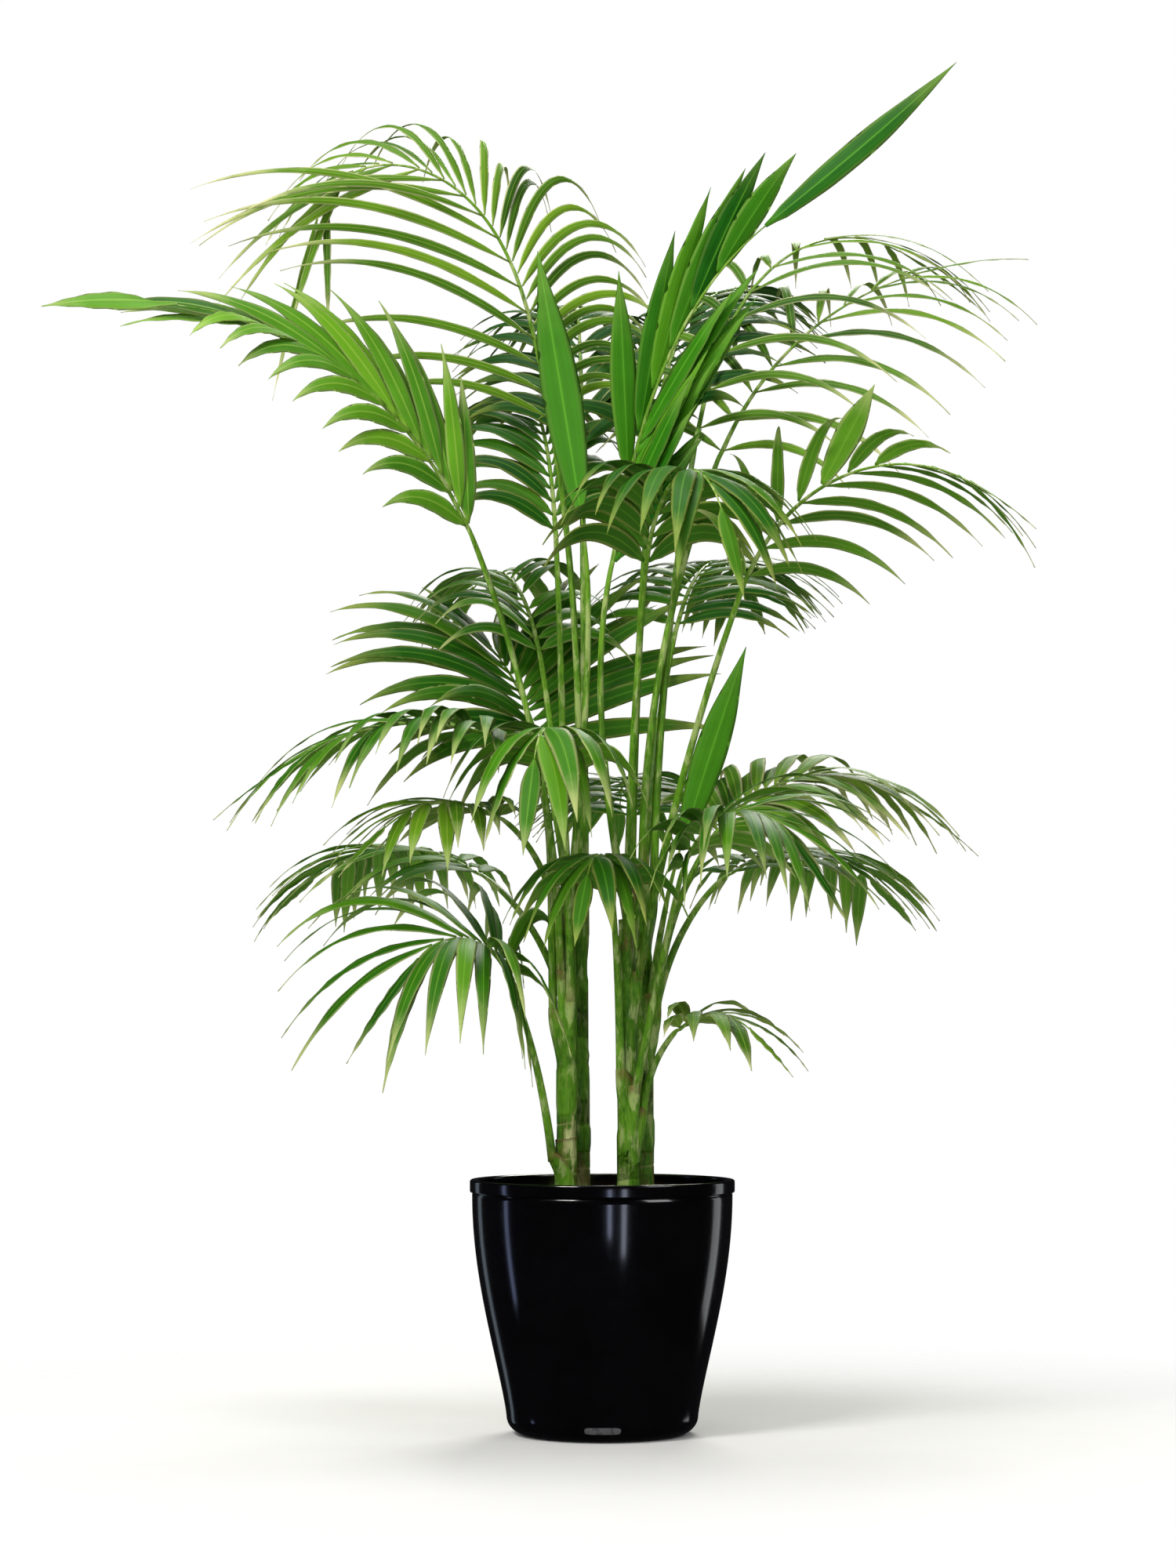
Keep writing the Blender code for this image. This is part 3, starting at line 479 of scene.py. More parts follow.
# stems: foot and top are places across, height is above the floor
stems = {
    "left_front": dict(foot=(-0.048, -0.023), top=(-0.046, -0.030), height=0.66),
    "left_rear": dict(foot=(-0.030, 0.029), top=(-0.032, 0.040), height=0.70),
    "right_front": dict(foot=(0.035, -0.028), top=(0.032, -0.036), height=0.68),
    "right_rear": dict(foot=(0.055, 0.022), top=(0.054, 0.036), height=0.74),
}
stemShape = dict(soilTop=0.300, footRadius=0.0142, topRadius=0.0092, flare=0.0070, flareHeight=0.030,
                 sheathStep=0.0014, sheaths=4, rows=260, columns=56)
caneLook = dict(wave=0.012, lip=0.35, lipWidth=0.03, scars=(0.22, 0.47, 0.70), scarWidth=0.014,
                scarDepth=0.0005, flutes=9, fluteDepth=0.00022, barkDepth=0.0003)


def stemRadius(share):
    # straight taper, plus a step that grows up each old sheath and drops back at its mouth
    taper = mixed(stemShape["footRadius"], stemShape["topRadius"], share)
    sheath = share * stemShape["sheaths"]
    grown = np.where(share < 1, sheath - np.floor(sheath), 1.0)
    return taper + stemShape["sheathStep"] * grown


def stemRings(stem):
    # heights above the soil and radii where the coarse stem's outline turns
    length = stem["height"] - stemShape["soilTop"] - gap
    rings = []
    for level, swell in ((0.0, 1.0), (0.35, 0.38), (1.0, 0.0)):
        rise = level * stemShape["flareHeight"]
        rings.append((rise, stemRadius(rise / length) + swell * stemShape["flare"]))
    for sheath in range(1, stemShape["sheaths"]):
        mouth = sheath / stemShape["sheaths"]
        rings.append((mouth * length, stemRadius(mouth - 1e-6)))
        rings.append((mouth * length + 0.004, stemRadius(mouth)))
    rings.append((length, stemRadius(1.0)))
    return np.array(rings)


def stemCentre(stem, height):
    # place across of the stem's centre at a height above the floor
    share = (height - stemShape["soilTop"]) / (stem["height"] - stemShape["soilTop"])
    return mixed(np.array(stem["foot"]), np.array(stem["top"]), np.asarray(share)[..., None])


def stemAxis(stem, height):
    return np.concatenate([stemCentre(stem, height), [height]])


def stemReach(stem, height):
    # radius of the coarse stem at a height above the floor
    rings = stemRings(stem)
    return np.interp(height - stemShape["soilTop"] - gap, rings[:, 0], rings[:, 1])


# frond paths

ribShape = dict(stalkFoot=0.0062, stalkTop=0.0036, width=0.0070, depth=0.0052, tipShare=0.40, pathSteps=48)


def stalkRadius(share):
    return mixed(ribShape["stalkFoot"], ribShape["stalkTop"], share)


def rachisHalf(share):
    return 0.5 * ribShape["width"] * mixed(1, ribShape["tipShare"], share)


def followPath(frond, base):
    # the lean goes from the first to the second along the stalk and on to the third along the
    # blade; the path is base plus the sum of tangent times step
    steps = np.linspace(0, 1, ribShape["pathSteps"] + 1)
    first, turn, last = np.radians(frond["leans"])
    low = mixed(first, turn, steps ** frond["stalkBend"])
    high = mixed(turn, last, steps ** frond["bladeBend"])
    lean = np.concatenate([low, high[1:]])
    arc = np.concatenate([steps * frond["stalk"], frond["stalk"] + steps[1:] * frond["blade"]])
    level = headingVector(frond["heading"])
    tangent = np.sin(lean)[:, None] * level + np.cos(lean)[:, None] * upward
    middle = (tangent[1:] + tangent[:-1]) / 2
    points = base + np.concatenate([np.zeros((1, 3)), np.cumsum(middle * np.diff(arc)[:, None], 0)])
    return dict(points=points, tangent=tangent, side=headingVector(frond["heading"] + 90), arc=arc,
                stalk=frond["stalk"], blade=frond["blade"])


def seatOnStem(frond):
    # on the stem's top, or beside the stem just where the stalk clears it all the way up
    stem = stems[frond["stem"]]
    if frond["seat"] is None:
        return stemAxis(stem, frond["height"]) + upward * gap
    away = headingVector(frond["seat"])
    trial = followPath(frond, np.zeros(3))
    need = 0.0
    for share in np.linspace(0, 1, 41):
        height = frond["height"] + share * (stem["height"] - frond["height"])
        rise = height - frond["height"]
        drift = lookUp(rise, trial["points"][:, 2], trial["points"][:, :2])
        shift = stemAxis(stem, height) - stemAxis(stem, frond["height"])
        apart = np.dot(drift - shift[:2], away[:2])
        thick = stalkRadius(np.interp(rise, trial["points"][:, 2], trial["arc"]) / frond["stalk"])
        need = max(need, stemReach(stem, height) + thick - apart)
    return stemAxis(stem, frond["height"]) + away * (need + gap)


def bladeFrame(frond, path, share):
    # point, tangent, side and upper direction at a share of the blade; the side rolls about the
    # tangent from the first roll to the second, reached at three quarters of the blade
    share = np.asarray(share, float)
    arc = path["stalk"] + gap + share * (path["blade"] - gap)
    point = lookUp(arc, path["arc"], path["points"])
    tangent = unit(lookUp(arc, path["arc"], path["tangent"]))
    upper = np.cross(tangent, path["side"])
    roll = np.radians(mixed(*frond["roll"], np.minimum(1.0, share / 0.75)))[..., None]
    side = path["side"] * np.cos(roll) + upper * np.sin(roll)
    return point, tangent, side, np.cross(tangent, side)


# leaflets

leafShape = dict(rootHalf=0.0060, thickness=0.011, spare=0.0010, ownRib=0.14, ownLeaf=0.05, longest=0.42,
                 steps=22, skin=0.0004, ridge=0.20)
frontward = np.array([0.0, -1.0, 0.0])


def halfWidth(leaf, share):
    # sine rise from the root to the broadest place, then one minus a power falling to a point
    broadest = leaf["broadest"]
    rise = np.sin(np.clip(share / broadest, 0, 1) * math.pi / 2)
    fall = 1 - np.clip((share - broadest) / (1 - broadest), 0, 1) ** 1.8
    return 0.5 * leaf["width"] * (0.35 + 0.65 * rise) * fall


def leafLine(leaf, steps=12):
    # direction = unit(first direction - droop * v^1.3 * up), summed into the centre line; the edge
    # direction is carried along without twist
    spreadTurn, foldTurn = math.radians(leaf["spread"]), math.radians(leaf["fold"])
    out = math.cos(foldTurn) * leaf["side"] * leaf["out"] + math.sin(foldTurn) * leaf["up"]
    start = math.cos(spreadTurn) * leaf["along"] + math.sin(spreadTurn) * out
    shares = np.linspace(0, 1, steps + 1)
    direction = unit(start - leaf["droop"] * (shares ** 1.3)[:, None] * upward)
    middle = (direction[1:] + direction[:-1]) / 2
    grown = np.cumsum(middle, 0) * leaf["length"] / steps
    line = leaf["root"] + np.concatenate([np.zeros((1, 3)), grown])
    across = leaf["along"] if leaf["side"] else leaf["out"]
    edge = np.empty_like(direction)
    for step, ahead in enumerate(direction):
        across = unit(across - np.dot(across, ahead) * ahead)
        edge[step] = across
    return shares, line, direction, edge, np.cross(edge, direction) * (leaf["side"] or -1)


boxWalls = tubeQuads(4, 4).tolist() + [(0, 1, 2, 3), (12, 13, 14, 15)]


def leafRoom(leaf, start=0.0):
    # four-cornered sections of the leaflet with spare room round it
    shares, line, _, edge, upper = leafLine(leaf)
    broadest = leaf["broadest"]
    spare = leafShape["spare"]
    at = np.array([start, broadest, (1 + broadest) / 2 + 0.05, 1.0])
    centre = lookUp(at, shares, line)
    across = unit(lookUp(at, shares, edge))
    above = unit(lookUp(at, shares, upper))
    half = np.where(at > 0, halfWidth(leaf, at), leafShape["rootHalf"])[:, None] + spare
    thick = leafShape["thickness"] * leaf["length"]
    keel = thick * np.minimum(1.0, (1 - at) / 0.45)[:, None] + spare
    corners = centre + across * half, centre + above * spare, centre - across * half, centre - above * keel
    return np.stack(corners, 1).reshape(-1, 3)


class Room:
    # what is already placed: owner, kind, box and tree of faces of each piece
    def __init__(self):
        self.pieces = []

    def put(self, owner, kind, points, faces):
        points = np.asarray(points, float)
        tree = BVHTree.FromPolygons([Vector(point) for point in points], faces)
        self.pieces.append((owner, kind, points.min(0), points.max(0), tree))

    def free(self, owner, leaf, ownLeaf):
        # true where the leaflet meets nothing; its own frond is tested past its root
        points = leafRoom(leaf)
        low, high = points.min(0), points.max(0)
        trees = {}
        for other, kind, boxLow, boxHigh, placedTree in self.pieces:
            if (low > boxHigh).any() or (high < boxLow).any():
                continue
            start = (leafShape["ownRib"] if kind == "rib" else ownLeaf) if other == owner else 0.0
            if start not in trees:
                spots = points if start == 0.0 else leafRoom(leaf, start)
                trees[start] = BVHTree.FromPolygons([Vector(spot) for spot in spots], boxWalls)
            if trees[start].overlap(placedTree):
                return False
        return True


def pairShare(frond, pair):
    # share of the blade at which a pair stands
    return 0.985 * (pair + 0.35) / (frond["pairs"] - 0.3)


def lengthShare(frond, share):
    # rises as a sine to the longest, then falls to the end by a power
    longest = leafShape["longest"]
    if share < longest:
        return mixed(frond["low"], 1, math.sin(share / longest * math.pi / 2))
    return mixed(1, frond["end"], ((share - longest) / (1 - longest)) ** 1.4)


def leafRoot(frond, path, share, side):
    # where a leaflet starts and the directions that it grows by
    point, along, out, up = bladeFrame(frond, path, share)
    return dict(root=point + side * out * rachisHalf(share), along=along, out=out, up=up, side=side)


def wishedLeaf(frond, path, pair, side, draws):
    # the leaflet as it would grow with nothing in its way
    share = pairShare(frond, pair)
    turn, lift, grow = draws[side][pair]
    length = frond["leaflet"] * lengthShare(frond, share)
    moreSpread, moreFold, longer, softer = frond["left" if side == 1 else "right"]
    return dict(leafRoot(frond, path, share, side), share=share, droop=frond["droop"] * softer,
                spread=mixed(*frond["spread"], share ** 1.2) + moreSpread + 4 * turn,
                fold=mixed(*frond["fold"], share) + moreFold + 5 * lift,
                length=length * longer * (1 + 0.05 * grow), broadest=frond["broadest"],
                width=frond["width"] * (0.75 + 0.25 * length / frond["leaflet"]))


def settled(leaf, owner, room, ownLeaf):
    # turned, lifted and at last shortened until it is clear; none where it never is
    for length in (1.0, 0.85, 0.7, 0.5):
        for fold in (0, 7, -7, 14, -14, 24, -24):
            for turn in (0, -6, 6):
                trial = dict(leaf, length=leaf["length"] * length, fold=leaf["fold"] + fold,
                             spread=leaf["spread"] + turn)
                if room.free(owner, trial, ownLeaf):
                    return trial
    return None


def coarseRachis(frond, path):
    # three-cornered sections at both ends of every leaflet's root
    half = min(leafShape["rootHalf"] / frond["blade"], 0.3 / frond["pairs"])
    places = [0.0]
    for pair in range(frond["pairs"]):
        places += [pairShare(frond, pair) - half, pairShare(frond, pair) + half]
    places = np.array(places + [1.0])
    point, _, out, up = bladeFrame(frond, path, places)
    wide = rachisHalf(places)[:, None]
    depth = ribShape["depth"] * wide / (0.5 * ribShape["width"])
    corners = np.stack([point + out * wide, point - out * wide, point - up * depth], 1).reshape(-1, 3)
    return corners, tubeQuads(len(places), 3).tolist()


def nodeFaces(name):
    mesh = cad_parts[name].data
    return [tuple(corner.co) for corner in mesh.vertices], [tuple(face.vertices) for face in mesh.polygons]


def firstLeaves(frond, path):
    # the leaflet that ends the frond, and a single one of its own size where the frond has it
    length, width, droop = frond["tip"]
    first = {"tip": dict(leafRoot(frond, path, 1.0, 0), spread=0, fold=0, droop=droop,
                         length=frond["leaflet"] * length, width=frond["width"] * width,
                         broadest=frond["broadest"])}
    if frond["extra"]:
        share, side, turn, fold, length, width, droop = frond["extra"]
        pair = min(range(frond["pairs"]), key=lambda number: abs(pairShare(frond, number) - share))
        point, along, out, up = bladeFrame(frond, path, pairShare(frond, pair))
        first[(pair, side)] = dict(root=point + side * out * rachisHalf(share), along=along, out=out, up=up,
                                   side=side, spread=turn, fold=fold, droop=droop, length=length,
                                   width=width, broadest=0.5)
    return first


def keepLeaf(place, leaf, owner, leaves, room, ownLeaf=leafShape["ownLeaf"]):
    # placed where it settles clear, or left out
    leaf = settled(leaf, owner, room, ownLeaf)
    if leaf:
        leaves[place] = leaf
        room.put(owner, "leaf", leafRoom(leaf), boxWalls)


def growPairs(frond, path, draws, leaves, room, **own):
    # pair by pair, where no leaflet stands yet
    for pair in range(frond["pairs"]):
        for side in (1, -1):
            if (pair, side) not in leaves:
                wished = wishedLeaf(frond, path, pair, side, draws)
                keepLeaf((pair, side), wished, frond["name"], leaves, room, **own)


def growLeaves(paths, room):
    # end leaflets and single ones first, then frond by frond and pair by pair; a frond whose
    # leaflets lie close together gets back those that only met their neighbours
    leaves = {frond["name"]: {} for frond in fronds}
    draws = {}
    for number, frond in enumerate(fronds):
        name = frond["name"]
        draw = np.random.default_rng(number + 1)
        draws[name] = {side: draw.uniform(-1, 1, (frond["pairs"], 3)) for side in (1, -1)}
        for place, leaf in firstLeaves(frond, paths[name]).items():
            keepLeaf(place, leaf, name, leaves[name], room)
    for frond in fronds:
        name = frond["name"]
        growPairs(frond, paths[name], draws[name], leaves[name], room)
    for frond in fronds:
        name = frond["name"]
        if frond["close"] > leafShape["ownLeaf"]:
            growPairs(frond, paths[name], draws[name], leaves[name], room, ownLeaf=frond["close"])
        fillBetween(frond, paths[name], leaves[name], room)
    return leaves


def fillBetween(frond, path, leaves, room):
    # between neighbours on one side: every number of the finer leaflet is mixed from theirs, it
    # stands a little off their plane, and it stays only where it is clear
    draw = np.random.default_rng(len(frond["name"]) + frond["pairs"])
    numbers = "share", "spread", "fold", "droop", "length", "width", "broadest"
    for side in (1, -1):
        pairs = [pair for pair in range(frond["pairs"]) if (pair, side) in leaves]
        for pair, after in zip(pairs, pairs[1:]):
            ends = leaves[(pair, side)], leaves[(after, side)]
            if "share" not in ends[0] or "share" not in ends[1]:
                continue
            each = frond["between"][0 if side == 1 else 1]
            count = each + (each + 1) * (after - pair - 1)
            for number in range(1, count + 1):
                mix = number / (count + 1)
                value = {key: ends[0][key] * (1 - mix) + ends[1][key] * mix for key in numbers}
                value["length"] *= 0.96 + 0.06 * draw.uniform(-1, 1)
                value["width"] *= 0.92
                leaf = dict(value, **leafRoot(frond, path, value["share"], side))
                for lift in (-4, 5, -9, 10, -15, 16):
                    turn = draw.uniform(-2, 2)
                    trial = dict(leaf, fold=leaf["fold"] + lift, spread=leaf["spread"] + turn)
                    if room.free(frond["name"], trial, frond["close"]):
                        leaves[(pair + mix, side)] = trial
                        room.put(frond["name"], "leaf", leafRoom(trial), boxWalls)
                        break


acrossTop = np.array([-1, -0.72, -0.38, 0, 0.38, 0.72, 1])
sectionU = np.concatenate([acrossTop[::-1], acrossTop[1:-1]])     # edge to edge over the top, back below
sectionSide = np.where(np.arange(len(sectionU)) < len(acrossTop), 1.0, -1.0)
sectionSkin = sectionSide * (1 - np.abs(sectionU) ** 3)


leafLook = dict(twist=14, rootShare=0.45, tipThinning=0.25, leastHalf=0.0004, ripple=0.0007, midrib=0.0003,
                midribWidth=0.16, toneSpread=0.28, leastDryAndSheen=0.45)


def leafSurfaceGrid(leaf, look, draw):
    # at v along and u across: centre line + u * half width * across + height * upper, where height is
    # a ridge falling to both edges, less and less folded outwards, plus a ripple along the edges;
    # upper drifts at random about the leaflet, and by the frond's facing towards the plant's front
    k = leafLook
    steps = leafShape["steps"]
    shares, line, direction, edge, upper = leafLine(leaf, steps)
    twist = math.radians(draw.uniform(-k["twist"], k["twist"])) * shares[:, None] ** 1.5
    upper = upper * np.cos(twist) + edge * np.sin(twist)
    upper = upper + look["facing"] * smoothStep(shares, 0.0, 0.5)[:, None] * frontward
    upper = unit(upper - np.sum(upper * direction, -1, keepdims=True) * direction)
    across = np.cross(upper, direction)
    opened = k["rootShare"] + (1 - k["rootShare"]) * smoothStep(shares, 0.0, 0.10)
    half = look["slim"] * halfWidth(leaf, shares) * opened
    half = np.maximum(half * (1 - k["tipThinning"] * smoothStep(shares, 0.62, 1.0)), k["leastHalf"])
    ridge = leafShape["ridge"] * (0.45 + 1.1 * np.exp(-7 * shares))
    phase, beats = draw.uniform(0, 6.28), draw.uniform(3, 6)
    ripple = k["ripple"] * np.sin(beats * 6.28 * shares + phase) * smoothStep(shares, 0.05, 0.3)
    u = sectionU[None, :]
    skin = leafShape["skin"] * (1.0 + 1.8 * np.exp(-14 * shares)) * (1 - 0.5 * shares)
    height = -ridge[:, None] * half[:, None] * np.abs(u) ** 1.3 + ripple[:, None] * u ** 3
    rib = k["midrib"] * np.exp(-(u / k["midribWidth"]) ** 2)
    height = height + skin[:, None] * sectionSkin[None, :] + rib * sectionSkin
    rings = line[:, None] + across[:, None] * (half[:, None] * u)[..., None]
    rings = rings + upper[:, None] * height[..., None]
    tone = np.clip(0.5 + k["toneSpread"] * draw.normal(), 0, 1)
    # how far this leaflet's tips and edges turn to straw, the edge band partly a painted highlight
    dry = look["dry"] * (k["leastDryAndSheen"] + (1 - k["leastDryAndSheen"]) * draw.uniform())
    grid = closedTube(rings, shares, masksLike(rings, tone, sectionSkin < 0, dry, 1))
    here = (sectionU + 1) / 2
    beside = np.roll(here, -1)
    grid["quadMap"][:, 0] = np.tile(np.stack([here, beside, beside, here], -1), (steps, 1)).reshape(-1)
    fanU = np.stack([here, beside, np.full_like(here, 0.5)], -1)
    grid["fanMap"][:, 0] = np.tile(fanU, (2, 1)).reshape(-1)
    return grid


# build

room = Room()
paths = {frond["name"]: followPath(frond, seatOnStem(frond)) for frond in fronds}
for name in stems:
    room.put("stem", "rib", *nodeFaces("stem_" + name))
for frond in fronds:
    room.put("stalk", "rib", *nodeFaces(frond["name"] + "_stalk"))
    room.put(frond["name"], "rib", *coarseRachis(frond, paths[frond["name"]]))
for name in ("pot", "soil"):
    room.put(name, "rib", *nodeFaces(name))
leaves = growLeaves(paths, room)
print("leaflets grown:", sum(len(held) for held in leaves.values()))

for number, frond in enumerate(fronds):
    draw = np.random.default_rng(100 + number)
    grids = [leafSurfaceGrid(leaf, frond, draw) for leaf in leaves[frond["name"]].values()]
    newPiece(frond["name"] + "_leaflets", joined(grids), greens[frond["green"]],
             [frond["name"] + "_blade"])
print("leaflets made")


# stalks and ribs

stalkLook = dict(steps=26, ribSteps=60, columns=14, groove=0.30, sheathRows=26, sheathColumns=36,
                 sheathDrop=0.13, sheathMouth=0.055, sheathSkin=0.0011, mouthAtTop=0.030, mouthAtSide=0.012,
                 leastAboveSoil=0.012, swellAngle=0.48, swell=2.05)


def stalkMaterial():
    # yellow green with fine lengthwise fibres, a painted highlight on their ridges and painted shade in their
    # grooves, cream patches that are partly a painted highlight, paler towards the tip, brown scurf at the
    # foot
    material, tree, sockets = newMaterial("stalkGreen", 0.4, 0.22)
    channels = maskChannels(tree)
    body = objectPlace(tree)
    base = mottled(tree, body, 14.0, (0.022, 0.125, 0.003), (0.095, 0.290, 0.010))
    colour = blended(tree, times(tree, channels[0], 0.45), base["Color"], (0.27, 0.45, 0.04, 1))
    skin = placed(tree, caneSkin, {"Vector": body, "Green": colour, "Cream": 0.45, "Brown": channels[1]})
    rough = spread(tree, skin["Fibre"], 0.3, 0.7, 0.34, 0.5)
    feed(tree, sockets, skin["Color"], rough, skin["Fibre"], 0.25, 0.0006)
    return material


def ribGrid(frond, path):
    # an ellipse with a groove along its top, carried along the path; round at the stalk's foot, flat
    # topped where the leaflets sit, thinning to the tip; the frame rolls into the blade's own roll
    look = stalkLook
    low = np.linspace(0.0, 1.0, look["steps"], endpoint=False)
    high = np.linspace(0.0, 1.0, look["ribSteps"])
    point, tangent, side, _ = bladeFrame(frond, path, high)
    lowArc = low * path["stalk"]
    lowTangent = unit(lookUp(lowArc, path["arc"], path["tangent"]))
    roll = np.radians(frond["roll"][0] * smoothStep(low, 0.35, 1.0))[:, None]
    lowSide = path["side"] * np.cos(roll) + np.cross(lowTangent, path["side"]) * np.sin(roll)
    points = np.concatenate([lookUp(lowArc, path["arc"], path["points"]), point])
    sides = np.concatenate([lowSide, side])
    uppers = np.cross(np.concatenate([lowTangent, tangent]), sides)
    wide = np.concatenate([stalkRadius(low), rachisHalf(high) * (1 - 0.35 * smoothStep(high, 0.85, 1.0))])
    deepRib = 0.5 * ribShape["depth"] * rachisHalf(high) / rachisHalf(0.0)
    deep = np.concatenate([stalkRadius(low), deepRib])
    sink = np.concatenate([np.zeros(look["steps"]), deepRib * smoothStep(high, 0.0, 0.06)])
    turn = roundTurn(look["columns"])
    groove = look["groove"] * np.exp(-((turn - np.pi / 2) / 0.55) ** 2)
    x, y = np.cos(turn), np.sin(turn) * (1 - groove)
    rings = points[:, None] - (uppers * sink[:, None])[:, None]
    rings = rings + sides[:, None] * (wide[:, None] * x)[..., None]
    rings = rings + uppers[:, None] * (deep[:, None] * y)[..., None]
    pale = np.concatenate([0.25 + 0.35 * low, 0.6 + 0.4 * high])
    brown = 0.5 * (1 - smoothStep(np.concatenate([low, high + 1]), 0.0, 0.12))
    along = np.concatenate([lowArc, path["stalk"] + high * path["blade"]]) * 10
    return closedTube(rings, along, masksLike(rings, pale[:, None], brown[:, None]))


def sheathGrid(frond):
    # wraps the stem below the stalk: outer wall out to the stem's radius plus a skin and a swelling
    # under the stalk, inner wall just inside the stem's face; its mouth slants down away from the stalk
    look = stalkLook
    stem = stems[frond["stem"]]
    top = frond["seat"] is None
    toStalk = frond["heading"] if top else frond["seat"]
    turn = np.linspace(-np.pi, np.pi, look["sheathColumns"], endpoint=False)
    facing = np.exp(-(turn / look["swellAngle"]) ** 2)
    mouth = frond["height"] + look["mouthAtTop" if top else "mouthAtSide"]
    mouth = mouth - look["sheathMouth"] * (1 - np.cos(turn)) / 2
    start = max(frond["height"] - look["sheathDrop"], stemShape["soilTop"] + look["leastAboveSoil"])
    v = np.linspace(0, 1, look["sheathRows"])[:, None]
    heights = mixed(start, mouth, v)
    under = stemReach(stem, heights)
    if top:
        past = smoothStep(heights, frond["height"] - 0.03, frond["height"] + 0.03)
        under = under * (1 - past) + (ribShape["stalkFoot"] + 0.0004) * past
        swell = 0.0
    else:
        swell = facing * look["swell"] * ribShape["stalkFoot"] * smoothStep(v, 0.40, 0.97)
    skin = look["sheathSkin"] * smoothStep(v, 0.0, 0.12) * (1 - 0.5 * smoothStep(v, 0.8, 1.0))
    outer = under + skin + swell
    inner = np.minimum(under - 0.0006, outer - 0.0004)
    way = headingVector(toStalk + np.degrees(turn))[:, :2]
    centre = stemCentre(stem, heights)
    radii = np.concatenate([outer, inner[::-1]])[..., None]
    centre = np.concatenate([centre, centre[::-1]])
    rows = np.concatenate([centre + way * radii, np.concatenate([heights, heights[::-1]])[..., None]], -1)
    edge = smoothStep(v, 0.86, 1.0) * 0.9
    masks = masksLike(rows, 0.25, np.concatenate([edge, edge[::-1]]))
    return ringBand(rows, np.concatenate([v, v[::-1]])[:, 0] * 1.2, masks)


def ringBand(rows, along, masks):
    # like a tube whose last row joins its first again, so it has no ends
    grid = closedTube(*[np.concatenate([part, part[:1]]) for part in (rows, along, masks)])
    count = rows.shape[0] * rows.shape[1]
    return dict(grid, quads=grid["quads"] % count, fans=grid["fans"][:0], fanMap=grid["fanMap"][:0],
                points=grid["points"][:count], masks=grid["masks"][:count])


stalkGreen = stalkMaterial()
for frond in fronds:
    name = frond["name"]
    newPiece(name + "_rib", joined([ribGrid(frond, paths[name]), sheathGrid(frond)]), stalkGreen,
             [name + "_stalk"])
print("ribs and sheaths made")


# stems

def stemMaterial():
    # green cane with paler rings, brown papery patches low down, cream patches that are partly a painted
    # highlight, and lengthwise fibres with a painted highlight on their ridges and painted shade in their
    # grooves
    material, tree, sockets = newMaterial("stemGreen", 0.45, 0.22)
    channels = maskChannels(tree)
    body = objectPlace(tree)
    base = mottled(tree, body, 22.0, (0.018, 0.125, 0.003), (0.085, 0.310, 0.010))["Color"]
    skin = placed(tree, caneSkin, {"Vector": body, "Green": base, "Cream": 1.0, "Brown": channels[2]})
    colour = blended(tree, channels[1], skin["Color"], (0.12, 0.075, 0.03, 1))
    colour = blended(tree, channels[0], colour, (0.46, 0.48, 0.17, 1))
    rough = spread(tree, skin["Fibre"], 0.3, 0.7, 0.35, 0.6)
    feed(tree, sockets, colour, rough, skin["Fibre"], 0.35, 0.0008)
    return material


def stemGrid(stem, seed):
    # radius by height and angle: the coarse outline, softened, with a lip at each old sheath that
    # waves round the stem, shallow ring scars below it and faint lengthwise flutes
    shape, look = stemShape, caneLook
    length = stem["height"] - shape["soilTop"] - gap
    v = np.linspace(0, 1, shape["rows"])[:, None]
    turn = roundTurn(shape["columns"])
    draw = np.random.default_rng(seed)
    wave = look["wave"] * np.sin(turn + draw.uniform(0, 6.28))[None, :] * np.minimum(1, 3 * v * (1 - v))
    moved = np.clip(v + wave, 0, 0.9999)
    sheath = moved * shape["sheaths"]
    grown = sheath - np.floor(sheath)
    taper = mixed(shape["footRadius"], shape["topRadius"], v)
    lip = shape["sheathStep"] * (grown + look["lip"] * np.exp(-((1 - grown) / look["lipWidth"]) ** 2))
    swell = shape["flare"] * np.exp(-v * length / (0.32 * shape["flareHeight"]))
    scars = sum(np.exp(-((grown - place) / look["scarWidth"]) ** 2) for place in look["scars"])
    flutes = np.sin(look["flutes"] * turn + draw.uniform(0, 6.28))[None, :]
    flutes = look["fluteDepth"] * flutes * (1 - 0.5 * v)
    spots = np.stack(np.broadcast_arrays(np.cos(turn) * 2, np.sin(turn) * 2, v * 14), -1)
    bark = ripples(spots, 3.0, seed)
    radius = taper + lip + swell - look["scarDepth"] * scars + flutes + look["barkDepth"] * bark
    radius = radius * (1 - 0.5 * smoothStep(v, 0.997, 1.0))
    centre = mixed(np.array(stem["foot"]), np.array(stem["top"]), v)
    height = shape["soilTop"] + gap + v * length - 0.004 * (v < 0.001)
    around = headingVector(np.degrees(turn))[:, :2]
    rings = np.concatenate([centre[:, None] + around[None] * radius[..., None],
                            np.broadcast_to(height[:, None], radius.shape + (1,))], -1)
    pale = np.clip(scars, 0, 1) * 0.45
    brown = np.exp(-((1 - grown) / 0.035) ** 2) * 0.85
    papery = np.clip(0.95 - 2.3 * v, 0.04, 1.0)
    return closedTube(rings, v[:, 0] * 3, masksLike(rings, pale, brown, papery))


stemGreen = stemMaterial()
for number, (name, stem) in enumerate(stems.items()):
    newPiece("stem_" + name + "_cane", stemGrid(stem, 40 + number), stemGreen, ["stem_" + name])
print("stems made")


# planter

potShape = dict(height=0.335, footRadius=0.100, shoulderRadius=0.127, shoulderHeight=0.024, bodyRadius=0.173,
                bodyHeight=0.317, rimRadius=0.176, rimWidth=0.011, wall=0.006, floor=0.012, columns=200)


